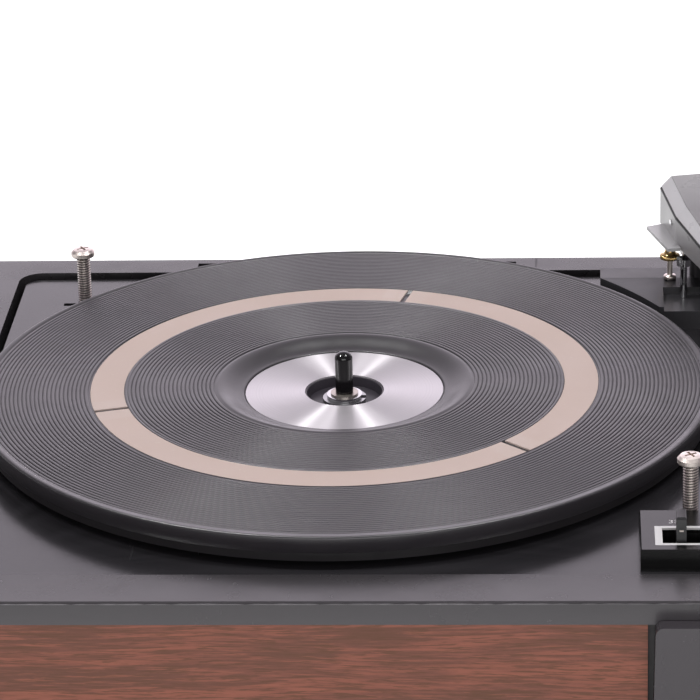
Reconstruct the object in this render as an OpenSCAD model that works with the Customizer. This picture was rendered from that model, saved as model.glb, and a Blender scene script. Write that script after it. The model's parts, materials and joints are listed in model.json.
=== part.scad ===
// Record changer turntable: plinth, spring-hung unit plate, idler drive and pickup arm.
// The frame's origin is the middle of the footprint on the floor, +Z up, front towards -Y.

/* [Plinth] */
// Height of the plinth above its feet
plinth_h = 88; // [86:1:110]
// Height of the front face of the top moulding
rim_h = 9; // [7:0.5:14]
// Skin thickness of the top moulding
skin_t = 3; // [2:0.5:4]
// Corner radius of the top moulding, seen from above
rim_r = 4; // [2:0.5:8]
// Chamfer on the top edge of the top moulding
rim_chamfer = 0.8; // [0.4:0.1:1.5]
// Thickness of the cabinet boards
board_t = 11; // [9:0.5:11.5]
// Step from the moulding's face back to the cabinet's face
board_inset = 0.9; // [0.5:0.1:2]
// Width of the moulding beside the deck opening
side_strip = 22.2; // [20:0.2:30]
// Width of the moulding in front of the deck opening
front_strip = 22.6; // [21:0.2:30]
// Height of the rubber feet
foot_h = 10; // [8:1:20]
// Radius of the rubber feet
foot_r = 11; // [9:1:16]
// Room between the rear board and the wall of the deck opening
rear_gap = 0.9; // [0.5:0.1:8]
// Thickness of the base board
base_t = 4; // [3:0.5:6]

/* [Front] */
// Thickness of the wood front panel
veneer_t = 3; // [2:0.5:5]
// Distance from the plinth's right end to the end of the wood panel
wood_end = 116.4; // [90:1:160]
// Width of the dark strip between the wood panel and the corner panel
dark_strip = 2; // [1:0.5:6]
// How far the corner panel stands out of the moulding's front face
pod_proud = 7; // [4:0.5:12]
// How far the corner panel reaches up over the moulding's front face
pod_lap = 1.9; // [1:0.1:4]
// Corner radius of the corner panel
pod_r = 3; // [1.5:0.5:5]
// Lean of the corner panel's left side over its height
pod_lean = 1.6; // [0:0.2:3]
// Wall of the corner panel
pod_wall = 2.5; // [2:0.5:3.5]

/* [Unit plate] */
// Gap between the mat and the plate's left edge, seen from above
mat_gap_left = 0.4; // [0:0.1:4]
// Gap between the mat and the plate's front edge, seen from above
mat_gap_front = 6.2; // [2:0.1:12]
// How far the mat reaches over the plate's rear edge
mat_over_rear = 0.9; // [0:0.1:1.5]
// Width of the plate to the right of the control block
block_margin = 5.4; // [4:0.1:12]
// Sheet thickness of the unit plate
deck_t = 1.2; // [0.9:0.1:1.6]
// Corner radius of the unit plate
deck_r = 7; // [5:0.5:12]
// How far the unit plate lies below the top of the moulding
deck_drop = 2.1; // [1:0.1:4]
// Gap all round between the unit plate and its opening
deck_gap = 2.9; // [2:0.1:5]
// Depth of the turned-down edge of the unit plate
deck_edge_h = 8; // [5:1:12]
// Depth of the pressed well
well_depth = 15; // [14:0.5:18]
// Depth of the moulding's ledge under the unit plate
ledge_depth = 28; // [24:1:34]
// Width of the ledge round the opening
ledge_w = 24; // [20:1:30]

/* [Platter] */
// Outer radius of the mat
mat_r = 145.5; // [143:0.5:147]
// Height of the mat's top above the unit plate
mat_top = 12.5; // [12:0.1:14]
// Thickness of the rubber mat
mat_t = 2.5; // [2:0.1:3.5]
// Rounding of the mat's outer edge
mat_edge_r = 2.2; // [1:0.1:2.4]
// Depth of the mat's lip down the platter's edge
mat_lip = 4; // [3:0.5:6]
// Gap between the platter's skirt and the unit plate
skirt_gap = 2.3; // [1.5:0.1:3]
// Sheet thickness of the platter
platter_t = 1.6; // [1.2:0.1:2.5]
// Pitch of the ribs on the mat
rib_pitch = 1.6; // [1.4:0.1:3]
// Depth of the grooves between the ribs
rib_depth = 0.5; // [0.3:0.1:0.8]
// Outer radius of the inlay ring
inlay_r_out = 100.6; // [98:0.2:103]
// Width of the inlay ring
inlay_w = 13.3; // [12:0.1:15]
// Width of the breaks in the inlay ring
inlay_break = 2.2; // [1:0.1:4]
// Angle of the first break in the inlay ring
inlay_angle = 77; // [0:1:119]
// Radius where the mat starts to dish down to the label
dish_r = 50.6; // [48:0.2:54]
// Radius of the label disc
label_r = 39.2; // [36:0.2:42]
// Depth of the label disc below the mat's top
label_depth = 3.8; // [3:0.1:5]
// Radius of the hole in the label disc
label_hole_r = 15.7; // [14:0.1:18]
// Wall of the drive ring
drive_wall = 3; // [2:0.5:4]
// Depth of the drive ring below the unit plate
drive_depth = 11.5; // [11:0.5:12.5]

/* [Spindle] */
// Radius of the stub spindle that a record drops on
spindle_r = 3.5; // [3.4:0.02:3.6]
// Height of the spindle's tip above the unit plate
spindle_tip = 25.2; // [22:0.2:34]
// Radius of the bearing tube
tube_r = 7; // [6:0.1:8]
// Running clearance of the platter's bore on the bearing tube
bore_clear = 0.05; // [0.02:0.01:0.1]
// Outer radius of the platter's hub
hub_r = 10.5; // [9:0.5:11]
// Height of the cup's floor above the unit plate
cup_floor = 4.6; // [4:0.2:5]
// Diameter of the thrust balls
ball_d = 2.4; // [2:0.1:3]
// Number of thrust balls
ball_count = 8; // [6:1:10]

/* [Idler drive] */
// Radius of the idler over its tyre
idler_r = 22; // [20:0.5:23]
// Thickness of the idler's tyre
idler_t = 2.4; // [2:0.1:2.8]
// Radius of the pulley's 33 step
pulley_33_r = 2.87; // [2.6:0.01:3.2]
// Height of the pulley's 45 and 78 steps
pulley_step_h = 5; // [4.6:0.1:5.2]
// Height of the pulley's 33 step
pulley_low_h = 7; // [6.5:0.1:7]
// Gap left where the idler meets the pulley and the drive ring
contact_gap = 0.2; // [0.1:0.05:0.3]
// Direction from the spindle to the motor
motor_angle = 215; // [212:1:218]
// Distance from the idler's axle to the pivot of its carrier
carrier_r = 40; // [38:1:41]
// Radius of the motor's shaft
shaft_r = 1.6; // [1.5:0.1:1.8]
// Width of the motor's laminations
motor_w = 62; // [56:1:64]
// Thickness of the motor's lamination stack
motor_stack = 20; // [14:1:24]

/* [Change gear] */
// Tooth module of the change gear and the hub pinion
gear_module = 1.5; // [1.45:0.01:1.5]
// Teeth that a full ring of the change gear would have
cam_teeth = 66; // [64:1:67]
// Teeth left out where the change gear faces the pinion
cam_gap_teeth = 8; // [7:1:10]
// Teeth of the hub pinion
pinion_teeth = 18; // [17:1:18]
// Direction from the spindle to the change gear
cam_angle = -14; // [-18:1:-8]
// Width of the teeth along the axis
gear_t = 4; // [3:0.5:4.5]

/* [Controls] */
// Left end of the control block, from the spindle
block_x = 114.5; // [112:0.5:116]
// Front of the control block, from the spindle
block_y = -147.7; // [-148.5:0.1:-146]
// Width of the control block
block_w = 86; // [84:1:90]
// Depth of the control block
block_d = 34.6; // [33:0.2:36]
// Height of the control block
block_h = 8.3; // [7:0.1:10]
// Distance from the block's end to the outline of the speed slot
slot_inset = 5.4; // [4:0.2:6]
// Distance from the block's front to the outline of the slots
slot_front = 4.2; // [3:0.2:5]
// Depth of the slots' outline
trim_d = 16.2; // [15:0.2:18]
// Width of the outline's long bars
trim_bar = 1.6; // [1:0.1:2]
// Width of the outline's left bar
trim_end = 2.7; // [1.5:0.1:3]
// Travel of the speed lever from 33 to 78
speed_travel = 24; // [22:0.5:24]
// Travel of the start lever each side of its middle
start_travel = 7; // [4:0.5:8]
// Width of a lever's blade
lever_w = 3.6; // [3:0.1:4]
// Depth of a lever's blade
lever_d = 10.4; // [8:0.2:11]
// Height of a lever's tip above the unit plate
lever_tip = 17; // [14:0.5:22]

/* [Transit screws and springs] */
// Radius of a transit screw's shank
screw_r = 2.75; // [2.5:0.05:3]
// Radius of a transit screw's head
screw_head_r = 5; // [4.5:0.1:5.5]
// Height of a transit screw's head
screw_head_h = 3.4; // [3:0.1:4]
// Height of the left head's top above the unit plate when locked
screw_top_left = 24.6; // [20:0.2:28]
// Height of the right head's top above the unit plate when locked
screw_top_right = 28.4; // [24:0.2:30]
// Length of a transit screw under its head
screw_len = 56; // [54:1:60]
// Turns of a suspension spring
spring_turns = 5; // [4:1:6]
// Mean radius of a suspension spring
spring_r = 8.5; // [8:0.1:9]
// Wire radius of a suspension spring
spring_wire = 0.8; // [0.6:0.05:1]

/* [Pickup arm] */
// Arm pivot to the right of the spindle
arm_x = 148; // [147:0.5:150]
// Arm pivot behind the spindle
arm_y = 118; // [117:0.5:119]
// Distance from the arm's pivot to the stylus
arm_len = 201; // [200:0.5:202]
// Angle of the resting arm, outwards from straight forwards
arm_rest_angle = 12; // [11:0.2:13]
// Height of the arm's tilt pins above the unit plate
tilt_z = 36; // [35:0.5:38]
// Underside of the arm's tail above the unit plate
tail_z = 28.3; // [28:0.1:30]
// Top of the arm's tail above the unit plate
tail_top = 49; // [46:0.5:52]
// Half width of the arm's tail
tail_hw = 16; // [15:0.5:17]
// Length of the tail behind the pivot
tail_len = 24; // [20:1:26]
// Wall of the arm's shell
arm_wall = 1.4; // [1:0.1:2]
// Height of the stylus tip above the mat, the thickness of a record
stylus_gap = 2; // [1.5:0.1:3]
// Height of the arm's base moulding
base_h = 12; // [11:0.5:12.5]

/* [Hidden] */
$fn = 96;

// Overshoot of a cut past the face that it opens
cut = 1;
// Clearance between pieces that are seated but not a fit
seat = 0.3;
// Radial clearance of a small running fit
run = 0.05;

// What the platter's size settles
well_r = mat_r - 12.5;
drive_r = mat_r - 27.5;
rib_r_max = mat_r - 3.5;
base_arc_r = mat_r + 6.5;
spindle_from_left = mat_r + mat_gap_left;
spindle_from_front = mat_r + mat_gap_front;
deck_w = spindle_from_left + block_x + block_w + block_margin;
deck_d = spindle_from_front + mat_r - mat_over_rear;

// Plinth, from the floor
plinth_top = foot_h + plinth_h;
opening_w = deck_w + 2 * deck_gap;
opening_d = deck_d + 2 * deck_gap;
plinth_w = opening_w + 2 * side_strip;
plinth_d = front_strip + opening_d + skin_t + rear_gap + board_t + board_inset;
front_y = -(plinth_d + pod_proud) / 2 + pod_proud;
plinth_cy = front_y + plinth_d / 2;
opening_r = deck_r + deck_gap;
opening_x = -opening_w / 2;
opening_y = front_y + front_strip;
deck_z = plinth_top - deck_drop;
spindle_x = opening_x + deck_gap + spindle_from_left;
spindle_y = opening_y + deck_gap + spindle_from_front;
rear_y = front_y + plinth_d;
cabinet_w = plinth_w - 2 * board_inset;
cabinet_bottom = foot_h + base_t;
cabinet_top = plinth_top - rim_h;
cabinet_h = cabinet_top - cabinet_bottom;
inner_w = cabinet_w - 2 * board_t;
board_y = front_y + board_inset + veneer_t;
board_rear = rear_y - board_inset;
base_edge = 2;
foot_x = cabinet_w / 2 - 32;
foot_y = plinth_d / 2 - 34;
foot_hole_r = 4;
vent_count = 7;
vent_pitch = 12;
vent_w = 5;
vent_len = 46;
case_shank_r = 1.7;
case_head_r = 3.6;
case_head_h = 2;
case_len = 18;
case_corner = 60;
side_screw_x = cabinet_w / 2 - board_t / 2;
side_screw_y = plinth_d / 2 - case_corner;
case_screws_at = concat(
    [for (x = [-1, 1], y = [-1, 1]) [x * side_screw_x, plinth_cy + y * side_screw_y]],
    [for (x = [-1, 1]) [x * inner_w / 4, board_y + board_t / 2]],
    [for (x = [-1, 1]) [x * inner_w / 4, board_rear - board_t / 2]]);
grommet_x = -60;
grommet_z = 40;
grommet_bore_r = 7;
cable_r = 3.2;
notch_w = 138.7;
notch_d = 6.5;
notch_depth = 2;
notch_x = -3.1;
notch_from_rear = 5.3;
wood_x0 = -cabinet_w / 2;
wood_x1 = plinth_w / 2 - wood_end;
pod_x0 = wood_x1 + dark_strip;
pod_top = plinth_top - rim_h + pod_lap;
pod_bottom = foot_h + 2;

// Everything below is measured from the spindle's axis at the top of the unit plate
deck_left = -spindle_from_left;
deck_front = -spindle_from_front;
ledge_top = deck_drop - ledge_depth;
ledge_t = 3;
well_floor = -well_depth;
well_under = well_floor - deck_t;
opening_left = deck_left - deck_gap;
opening_front = deck_front - deck_gap;
opening_rear = opening_front + opening_d;

// Platter
platter_top = mat_top - mat_t;
platter_under = platter_top - platter_t;
platter_r = mat_r - mat_t + 1.1;
skirt_z = skirt_gap;
label_t = 0.6;
label_top = mat_top - label_depth;
centre_top = label_top - label_t;
cup_r = label_hole_r - 1.5;
cup_under = cup_floor - platter_t;
flange_top = well_floor + 3;
washer_t = 1;
thrust_r = 12.5;
balls_z = flange_top + washer_t;
ball_gap = 0.04;
hub_bottom = balls_z + ball_d + ball_gap + washer_t;
tube_top = cup_floor + 2.7;
clip_z = cup_floor + seat;
clip_t = 1;
clip_groove = 0.8;
collar_r = 5.5;
collar_t = 0.7;
collar_body_r = tube_r - 2;
shank_r = spindle_r - 0.6;
dish_foot = label_r + 4;
skirt_t = 2.4;
inlay_r_in = inlay_r_out - inlay_w;
inlay_t = 0.6;
inlay_fit = 0.1;

// Idler drive
pulley_45_r = pulley_33_r * 45 / (100 / 3);
pulley_78_r = pulley_33_r * 78 / (100 / 3);
pulley_z = platter_under - 3.4 - 2 * pulley_step_h - pulley_low_h;
motor_inset = 4.2;
idler_rc = drive_r - idler_r - contact_gap;
motor_rc = idler_rc - motor_inset;
motor_x = motor_rc * cos(motor_angle);
motor_y = motor_rc * sin(motor_angle);
pulley_reach = idler_r + pulley_33_r + contact_gap;
idler_turn = acos((motor_rc ^ 2 + idler_rc ^ 2 - pulley_reach ^ 2) / (2 * motor_rc * idler_rc));
idler_angle = motor_angle + idler_turn;
idler_x = idler_rc * cos(idler_angle);
idler_y = idler_rc * sin(idler_angle);
// Unit directions away from the ring and away from the pulley; the idler retracts along their sum
away = [-cos(idler_angle) + (idler_x - motor_x) / pulley_reach,
        -sin(idler_angle) + (idler_y - motor_y) / pulley_reach];
retract = away / norm(away);
pivot_x = idler_x - carrier_r * retract[1];
pivot_y = idler_y + carrier_r * retract[0];
idler_low = 2.4;
tyre_r = idler_r - 3;
idler_z = pulley_z + idler_low;
idler_lift = 2 * pulley_step_h + 2.2;
axle_r = 1.5;
hub_half = 1.7;
wheel_hub_r = 5;
carrier_t = 1;
carrier_z = idler_z - hub_half - carrier_t - 0.2;
sleeve_r = 5;
sleeve_h = 5;
post_r = 3;
post_top = carrier_z + sleeve_h + idler_lift + 0.3;
strip_t = 1.5;
strip_z = well_under - 2.8;
crank_t = 1.5;
crank_z = strip_z - crank_t - 0.4;
crank_pin_r = 2;

// Motor, hung below the well
bracket_t = 1.5;
bracket_z = well_under - 7;
stack_top = bracket_z - 9;
stack_bottom = stack_top - motor_stack;
lower_bracket_z = stack_bottom - 9 - bracket_t;
rotor_r = 13;
rotor_gap = 0.4;
motor_hangers = [[-26, -16], [-26, 30], [20, 34]];
grommet_r = 6;
grommet_hole_r = 4;
hanger_r = 1.9;
motor_bolts = [[-25.5, 5], [25.5, 5]];
bolt_r = 1.5;
bolt_head_h = 2.4;
pillar_r = 3.2;
stator_front = 22;
leg_w = 14;
leg_y = 17;
coil_len = 17;
coil_wall = 6;
window_w = 13;
stator_back = leg_y + coil_len + 7;
pulley_top = pulley_z + pulley_low_h + 2 * pulley_step_h;

// Change gear
cam_r = gear_module * cam_teeth / 2;
pinion_r = gear_module * pinion_teeth / 2;
cam_rc = cam_r + pinion_r;
cam_x = cam_rc * cos(cam_angle);
cam_y = cam_rc * sin(cam_angle);
gear_z = -5;
cam_track_r = 38;
gear_post_r = 4;
gear_stud_r = 2.5;
pinion_bore = hub_r + run;
pawl_pivot = [27, 9];
pawl_z = gear_z + gear_t + 0.3;

// Controls, seen from the spindle
slot_x = block_x + slot_inset;
slot_y = block_y + slot_front;
lever_y = slot_y + trim_bar + 1.2;
speed_x = slot_x + trim_end + 5;
speed_slot_w = speed_travel + lever_w + trim_end + 8;
start_slot_x = slot_x + speed_slot_w + 6;
start_slot_w = 2 * start_travel + lever_w + 2 * trim_bar + 6;
start_x = start_slot_x + (start_slot_w - lever_w) / 2;
block_floor_t = 2;
strip_y = lever_y + lever_d / 2;
crank_r = pivot_y - strip_y;

// Transit screws and springs, as [x, y, width of ledge pad towards the edge]
screw_left = [-117.6, 118.5];
screw_right = [133.6, -108.2];
spring_places = [screw_left, screw_right, [-122, -118], [188, 122]];
pad_half = 14;
spring_under = ledge_top;
spring_h = -deck_t - spring_under;
clip_w = 16;
recess_depth = 1.8;
recess_len = 5;
recess_w = 1;
crank_pin_x = -speed_travel / 2;
strip_w = 9;
tab_t = 1.5;
tab_top = block_h + 4;
switch_w = 26;
switch_d = 14;
switch_h = 15;
start_strip_z = -deck_t - seat - 1.2;
trim_t = 0.8;
stud_r = 1.8;
block_studs = [for (x = [4, block_w - 50]) [block_x + x, block_y + block_d - 4]];

// Main lever and pawl, seen from the spindle
main_t = 1.5;
main_w = 11;
main_z = well_under - seat - main_t;
main_follower = [cam_x + cam_track_r * cos(100), cam_y + cam_track_r * sin(100)];
main_pivot = [98, 60];
main_end = [137, 100];
main_pin_r = 1.7;
main_stud_r = 2.5;
pawl_pin_r = 1.5;
pawl_t = 1.2;
main_across = atan2(main_pivot[1] - main_follower[1], main_pivot[0] - main_follower[0]) + 90;

// Pickup arm
arm_bearing_r = 8;
arm_shaft_r = 3;
arm_stud_r = 5;
bearing_top = 22;
yoke_t = 1.5;
yoke_z = bearing_top + seat;
ear_y = tail_hw - arm_wall - 2.2;
pin_r = 1.25;
arm_gap_mid = 0.8;
arm_pin_len = 7;
shaft_bottom = -22;
arm_front = arm_len - 22;
neck_x = 62;
yoke_hl = 9;
sector_r = 26;
beam_hw = 5.5;
beam_top = 31;
beam_z = 24;
head_hw = 9.5;
head_front = arm_len + 12;
stylus_z = mat_top + stylus_gap;
shell_z = stylus_z + 4;
shell_top = beam_top + 0.5;
cart_hw = 5.5;
cart_z = stylus_z + 2.6;
base_x = 102.4;
base_w = 92;
base_front = 84;
base_rear = 125;
pocket_x = 128.5;
pocket_w = 17.5;
pocket_d = 19;
pocket_z = 8;
base_studs = [[109, 119], [188, 90], [170, 119]];
lift_xy = [137, 99.8];
lift_r = 1.45;
lift_stroke = 1.7;
lift_collar_r = 3;
lift_reach = norm(lift_xy - [arm_x, arm_y]) + lift_collar_r;
// How far the arm's underside falls from its tail to the lift pin, and the height left under it there
arm_fall = (tail_z - beam_z - 2) * (lift_reach - 6) / (neck_x - 6);
nut_top = tail_z - seat - arm_fall;
collar_h = 3;
height_xy = [130.6, 110.5];
height_stud_r = 1.2;
rest_at = 118;
rest_xy = [arm_x + rest_at * sin(arm_rest_angle), arm_y - rest_at * cos(arm_rest_angle)];
rest_z = beam_z + 0.9;

// Basic shapes

module rounded_rect(w, d, r) {
    square([w - 2 * r, d], center = true);
    square([w, d - 2 * r], center = true);
    for (x = [-1, 1], y = [-1, 1])
        translate([x * (w / 2 - r), y * (d / 2 - r)]) circle(r);
}

module rounded_slab(w, d, h, r) {
    linear_extrude(h) rounded_rect(w, d, r);
}

module ring(r_out, r_in, h) {
    difference() {
        cylinder(r = r_out, h = h);
        translate([0, 0, -cut]) cylinder(r = r_in, h = h + 2 * cut);
    }
}

// Flat link between two points, with rounded ends about them
module link(a, b, w) {
    along = b - a;
    translate([(a[0] + b[0]) / 2, (a[1] + b[1]) / 2]) rotate(atan2(along[1], along[0]))
        rounded_rect(norm(along) + w, w, w / 2 - 0.3);
}

module bar(a, b, w, h) {
    linear_extrude(h) link(a, b, w);
}

// Round post at p from z0 up to z1
module post(p, r, z0, z1) {
    translate([p[0], p[1], z0]) cylinder(r = r, h = z1 - z0);
}

// Places its children at the spindle's axis, at the top of the unit plate
module at_deck() {
    translate([spindle_x, spindle_y, deck_z]) children();
}

module at_motor() {
    at_deck() translate([motor_x, motor_y, 0]) children();
}

// Places its children at the arm's pivot, +X along the resting arm
module at_arm() {
    at_deck() translate([arm_x, arm_y, 0]) rotate([0, 0, arm_rest_angle - 90]) children();
}

// Plinth

module base_board() color("#6b5138") {
    difference() {
        translate([0, (board_y + board_rear) / 2, foot_h])
            rounded_slab(cabinet_w - 2 * base_edge, board_rear - board_y, base_t, base_edge);
        at_feet() translate([0, 0, foot_h - cut]) cylinder(r = foot_hole_r, h = base_t + 2 * cut);
        for (i = [0 : vent_count - 1])
            translate([spindle_x + motor_x + (i - (vent_count - 1) / 2) * vent_pitch,
                       spindle_y + motor_y, foot_h - cut])
                rounded_slab(vent_w, vent_len, base_t + 2 * cut, vent_w * 0.49);
        screw_bores();
    }
}

module at_feet() {
    for (x = [-1, 1], y = [-1, 1]) translate([x * foot_x, plinth_cy + y * foot_y, 0]) children();
}

module rubber_feet() color("#1b1b1c") {
    stem_r = foot_hole_r - run;
    barb_z = foot_h + base_t + seat;
    at_feet() rotate_extrude() polygon([
        [0, 0], [foot_r - 1.5, 0], [foot_r - 0.4, 1], [foot_r, foot_h], [stem_r, foot_h],
        [stem_r, barb_z], [stem_r + 1.5, barb_z], [stem_r, barb_z + 4], [0, barb_z + 4]]);
}

module case_screws() color("#9a9a9c") {
    r = case_head_r;
    h = case_head_h;
    for (p = case_screws_at) translate([p[0], p[1], foot_h - h]) rotate_extrude() polygon([
        [0, 0], [r - 1, 0], [r, h / 2], [r, h], [case_shank_r, h], [case_shank_r, h + case_len],
        [0, h + case_len + case_shank_r]]);
}

// Pilot holes of the case screws through the base board and into the cabinet boards
module screw_bores() {
    for (p = case_screws_at) translate([p[0], p[1], foot_h - cut])
        cylinder(r = case_shank_r + run, h = case_len + 4 + cut);
}

module side_boards() color("#7d4a33") {
    difference() {
        for (x = [-1, 1])
            translate([x * (cabinet_w - board_t) / 2 - board_t / 2, board_y, cabinet_bottom])
                cube([board_t, board_rear - board_y, cabinet_h]);
        screw_bores();
    }
}

module front_board() color("#242325") {
    difference() {
        translate([-inner_w / 2, board_y, cabinet_bottom]) cube([inner_w, board_t, cabinet_h]);
        screw_bores();
    }
}

module rear_board() color("#5c4630") {
    difference() {
        translate([-inner_w / 2, board_rear - board_t, cabinet_bottom]) cube([inner_w, board_t, cabinet_h]);
        translate([grommet_x, board_rear + cut, grommet_z]) rotate([90, 0, 0])
            cylinder(r = grommet_bore_r, h = board_t + 2 * cut);
        screw_bores();
    }
}

module wood_front_panel() color("#96563c") {
    translate([wood_x0, board_y - veneer_t, cabinet_bottom])
        cube([wood_x1 - wood_x0, veneer_t, cabinet_h]);
}

// Outline of the corner panel from the front; its left side leans outwards towards the floor
module pod_outline(inset) {
    w = plinth_w / 2 - pod_x0 - inset;
    h = pod_top - pod_bottom - inset;
    translate([-w + pod_r, h - pod_r]) circle(r = pod_r);
    polygon([[0, inset], [0, h], [-w + pod_r, h], [-w, h - pod_r], [-w - pod_lean, inset]]);
}

module front_corner_panel() color("#4a474b") {
    back = board_y - front_y + pod_proud;
    difference() {
        translate([plinth_w / 2, board_y, pod_bottom]) rotate([90, 0, 0])
            linear_extrude(back) pod_outline(0);
        // Open back
        translate([plinth_w / 2 - pod_wall, board_y + cut, pod_bottom]) rotate([90, 0, 0])
            linear_extrude(back - pod_wall + cut) pod_outline(pod_wall);
        // Room for the moulding's front face, which the panel's top stands in front of
        translate([0, front_y, cabinet_top]) cube([plinth_w, plinth_d, rim_h]);
    }
}

module top_moulding() color("#2b2a2c") {
    difference() {
        union() {
            intersection() {
                translate([0, plinth_cy, cabinet_top]) rounded_slab(plinth_w, plinth_d, rim_h, rim_r);
                chamfered(plinth_w);
                translate([0, plinth_cy, 0]) rotate([0, 0, 90]) chamfered(plinth_d);
            }
            at_opening(ledge_top - ledge_t)
                rounded_slab(opening_w + 2 * skin_t, opening_d + 2 * skin_t,
                    deck_drop - ledge_top + ledge_t - skin_t / 2, opening_r + skin_t);
        }
        // Hollow under the skin, between the rim and the wall of the opening
        translate([0, 0, cabinet_top - cut]) linear_extrude(rim_h - skin_t + cut) difference() {
            translate([0, plinth_cy]) rounded_rect(plinth_w - 2 * skin_t, plinth_d - 2 * skin_t, rim_r);
            translate([0, opening_y + opening_d / 2])
                rounded_rect(opening_w + 2 * skin_t, opening_d + 2 * skin_t, opening_r + skin_t);
        }
        at_opening(ledge_top) rounded_slab(opening_w, opening_d, ledge_depth + cut, opening_r);
        at_deck() translate([0, 0, ledge_top - ledge_t - cut]) linear_extrude(ledge_t + 2 * cut)
            ledge_window();
        at_deck() for (p = [screw_left, screw_right]) translate([p[0], p[1], ledge_top - ledge_t - cut])
            cylinder(r = screw_r + seat, h = ledge_t + 2 * cut);
        // Slot for the dust cover's hinge bar
        translate([spindle_x + notch_x - notch_w / 2, rear_y - notch_from_rear - notch_d,
                   plinth_top - notch_depth]) cube([notch_w, notch_d, notch_depth + cut]);
    }
}

// Wide slab whose two long top edges are chamfered, along Y
module chamfered(w) {
    top = plinth_top;
    translate([0, plinth_w, 0]) rotate([90, 0, 0]) linear_extrude(2 * plinth_w)
        polygon([[-w / 2, 0], [w / 2, 0], [w / 2, top - rim_chamfer], [w / 2 - rim_chamfer, top],
                 [rim_chamfer - w / 2, top], [-w / 2, top - rim_chamfer]]);
}

module at_opening(z) {
    translate([0, opening_y + opening_d / 2, deck_z + z]) children();
}

// The hole inside the ledge, less a pad at each spring
module ledge_window() {
    difference() {
        translate([opening_left + opening_w / 2, opening_front + opening_d / 2])
            rounded_rect(opening_w - 2 * ledge_w, opening_d - 2 * ledge_w, opening_r);
        for (p = spring_places) {
            edge = p[1] > 0 ? opening_rear : opening_front;
            low = min(edge, p[1] - pad_half);
            high = max(edge, p[1] + pad_half);
            translate([p[0] - pad_half, low]) square([2 * pad_half, high - low]);
        }
    }
}

module cable_grommet() color("#1a1a1b") {
    translate([grommet_x, board_rear + 0.8, grommet_z]) rotate([90, 0, 0]) rotate_extrude()
        polygon([[cable_r, 0], [grommet_bore_r + 2, 0], [grommet_bore_r + 2, 0.8], [grommet_bore_r - run, 0.8],
                 [grommet_bore_r - run, board_t + 0.8 + seat], [grommet_bore_r + 2, board_t + 0.8 + seat],
                 [grommet_bore_r + 1.5, board_t + 4], [cable_r, board_t + 4]]);
}

// Springs and transit screws

// One helical spring of closed, triangulated skin: rings of points along the wire
function helix_at(r, pitch, a) = [r * cos(a), r * sin(a), pitch * a / 360];

function helix_points(r, pitch, turns, wire, sides, steps) = [
    for (i = [0 : turns * steps]) let (
        a = i * 360 / steps,
        lean = atan2(pitch, 2 * 180 * r * PI / 180),
        c = helix_at(r, pitch, a))
    for (k = [0 : sides - 1]) let (
        b = k * 360 / sides,
        out = wire * cos(b),
        up = wire * sin(b))
    [c[0] + out * cos(a) + up * sin(lean) * sin(a),
     c[1] + out * sin(a) - up * sin(lean) * cos(a),
     c[2] + up * cos(lean)]];

module coil_spring(r, wire, turns, height) {
    sides = 6;
    steps = 12;
    pitch = (height - 2 * wire) / turns;
    rings = turns * steps;
    translate([0, 0, wire]) polyhedron(
        points = helix_points(r, pitch, turns, wire, sides, steps),
        faces = concat(
            [[for (k = [0 : sides - 1]) sides - 1 - k]],
            [for (i = [0 : rings - 1], k = [0 : sides - 1])
                let (a = i * sides + k, b = i * sides + (k + 1) % sides)
                [a, b, b + sides]],
            [for (i = [0 : rings - 1], k = [0 : sides - 1])
                let (a = i * sides + k, b = i * sides + (k + 1) % sides)
                [a, b + sides, a + sides]],
            [[for (k = [0 : sides - 1]) rings * sides + k]]));
}

module suspension_springs() color("#8d8d90") {
    h = spring_h - 0.2;
    pitch = (h - 2 * spring_wire) / spring_turns;
    turn = [for (a = [0 : 30 : 330], b = [a + 330 : 30 : a + 390])
        norm(helix_at(spring_r, pitch, b) - helix_at(spring_r, pitch, a))];
    echo(spring_gap = min(turn) - 2 * spring_wire);
    at_deck() for (p = spring_places) translate([p[0], p[1], spring_under + 0.1])
        coil_spring(spring_r, spring_wire, spring_turns, h);
}

// Transit screw with the top of its head at the given height above the plate
module transit_screw(top) {
    under = top - screw_head_h;
    low = under - screw_len;
    difference() {
        rotate_extrude() polygon([
            [0, low], [screw_r - 0.6, low], [screw_r, low + 1], [screw_r, under], [screw_head_r - 0.3, under],
            [screw_head_r, under + 0.4], [screw_head_r, top - screw_head_h * 0.45],
            [screw_head_r - 1, top - screw_head_h * 0.12], [screw_head_r - 2.6, top], [0, top]]);
        translate([0, 0, top - recess_depth]) for (a = [30, 120]) rotate([0, 0, a])
            translate([-recess_len / 2, -recess_w / 2, 0]) cube([recess_len, recess_w, recess_depth + cut]);
    }
}

module transit_screw_left() color("#b9aea6") {
    at_deck() translate([screw_left[0], screw_left[1], 0]) transit_screw(screw_top_left);
}

module transit_screw_right() color("#b9aea6") {
    at_deck() translate([screw_right[0], screw_right[1], 0]) transit_screw(screw_top_right);
}

// Spring-steel nuts that hook under the ledge and hold the transit screws
module transit_clips() color("#77777a") {
    at_deck() for (p = [screw_left, screw_right]) translate([p[0], p[1], ledge_top - ledge_t])
        difference() {
            union() {
                translate([-clip_w / 2, -clip_w / 2, -1]) cube([clip_w, clip_w, 1]);
                translate([0, 0, -4]) cylinder(r = screw_r + 1.6, h = 4);
                for (x = [-1, 1]) translate([x * (clip_w / 2 - 0.5) - 0.5, -clip_w / 2, -4])
                    cube([1, clip_w, 4]);
            }
            translate([0, 0, -5]) cylinder(r = screw_r + run, h = 6 + cut);
        }
}

// Unit plate

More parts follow.
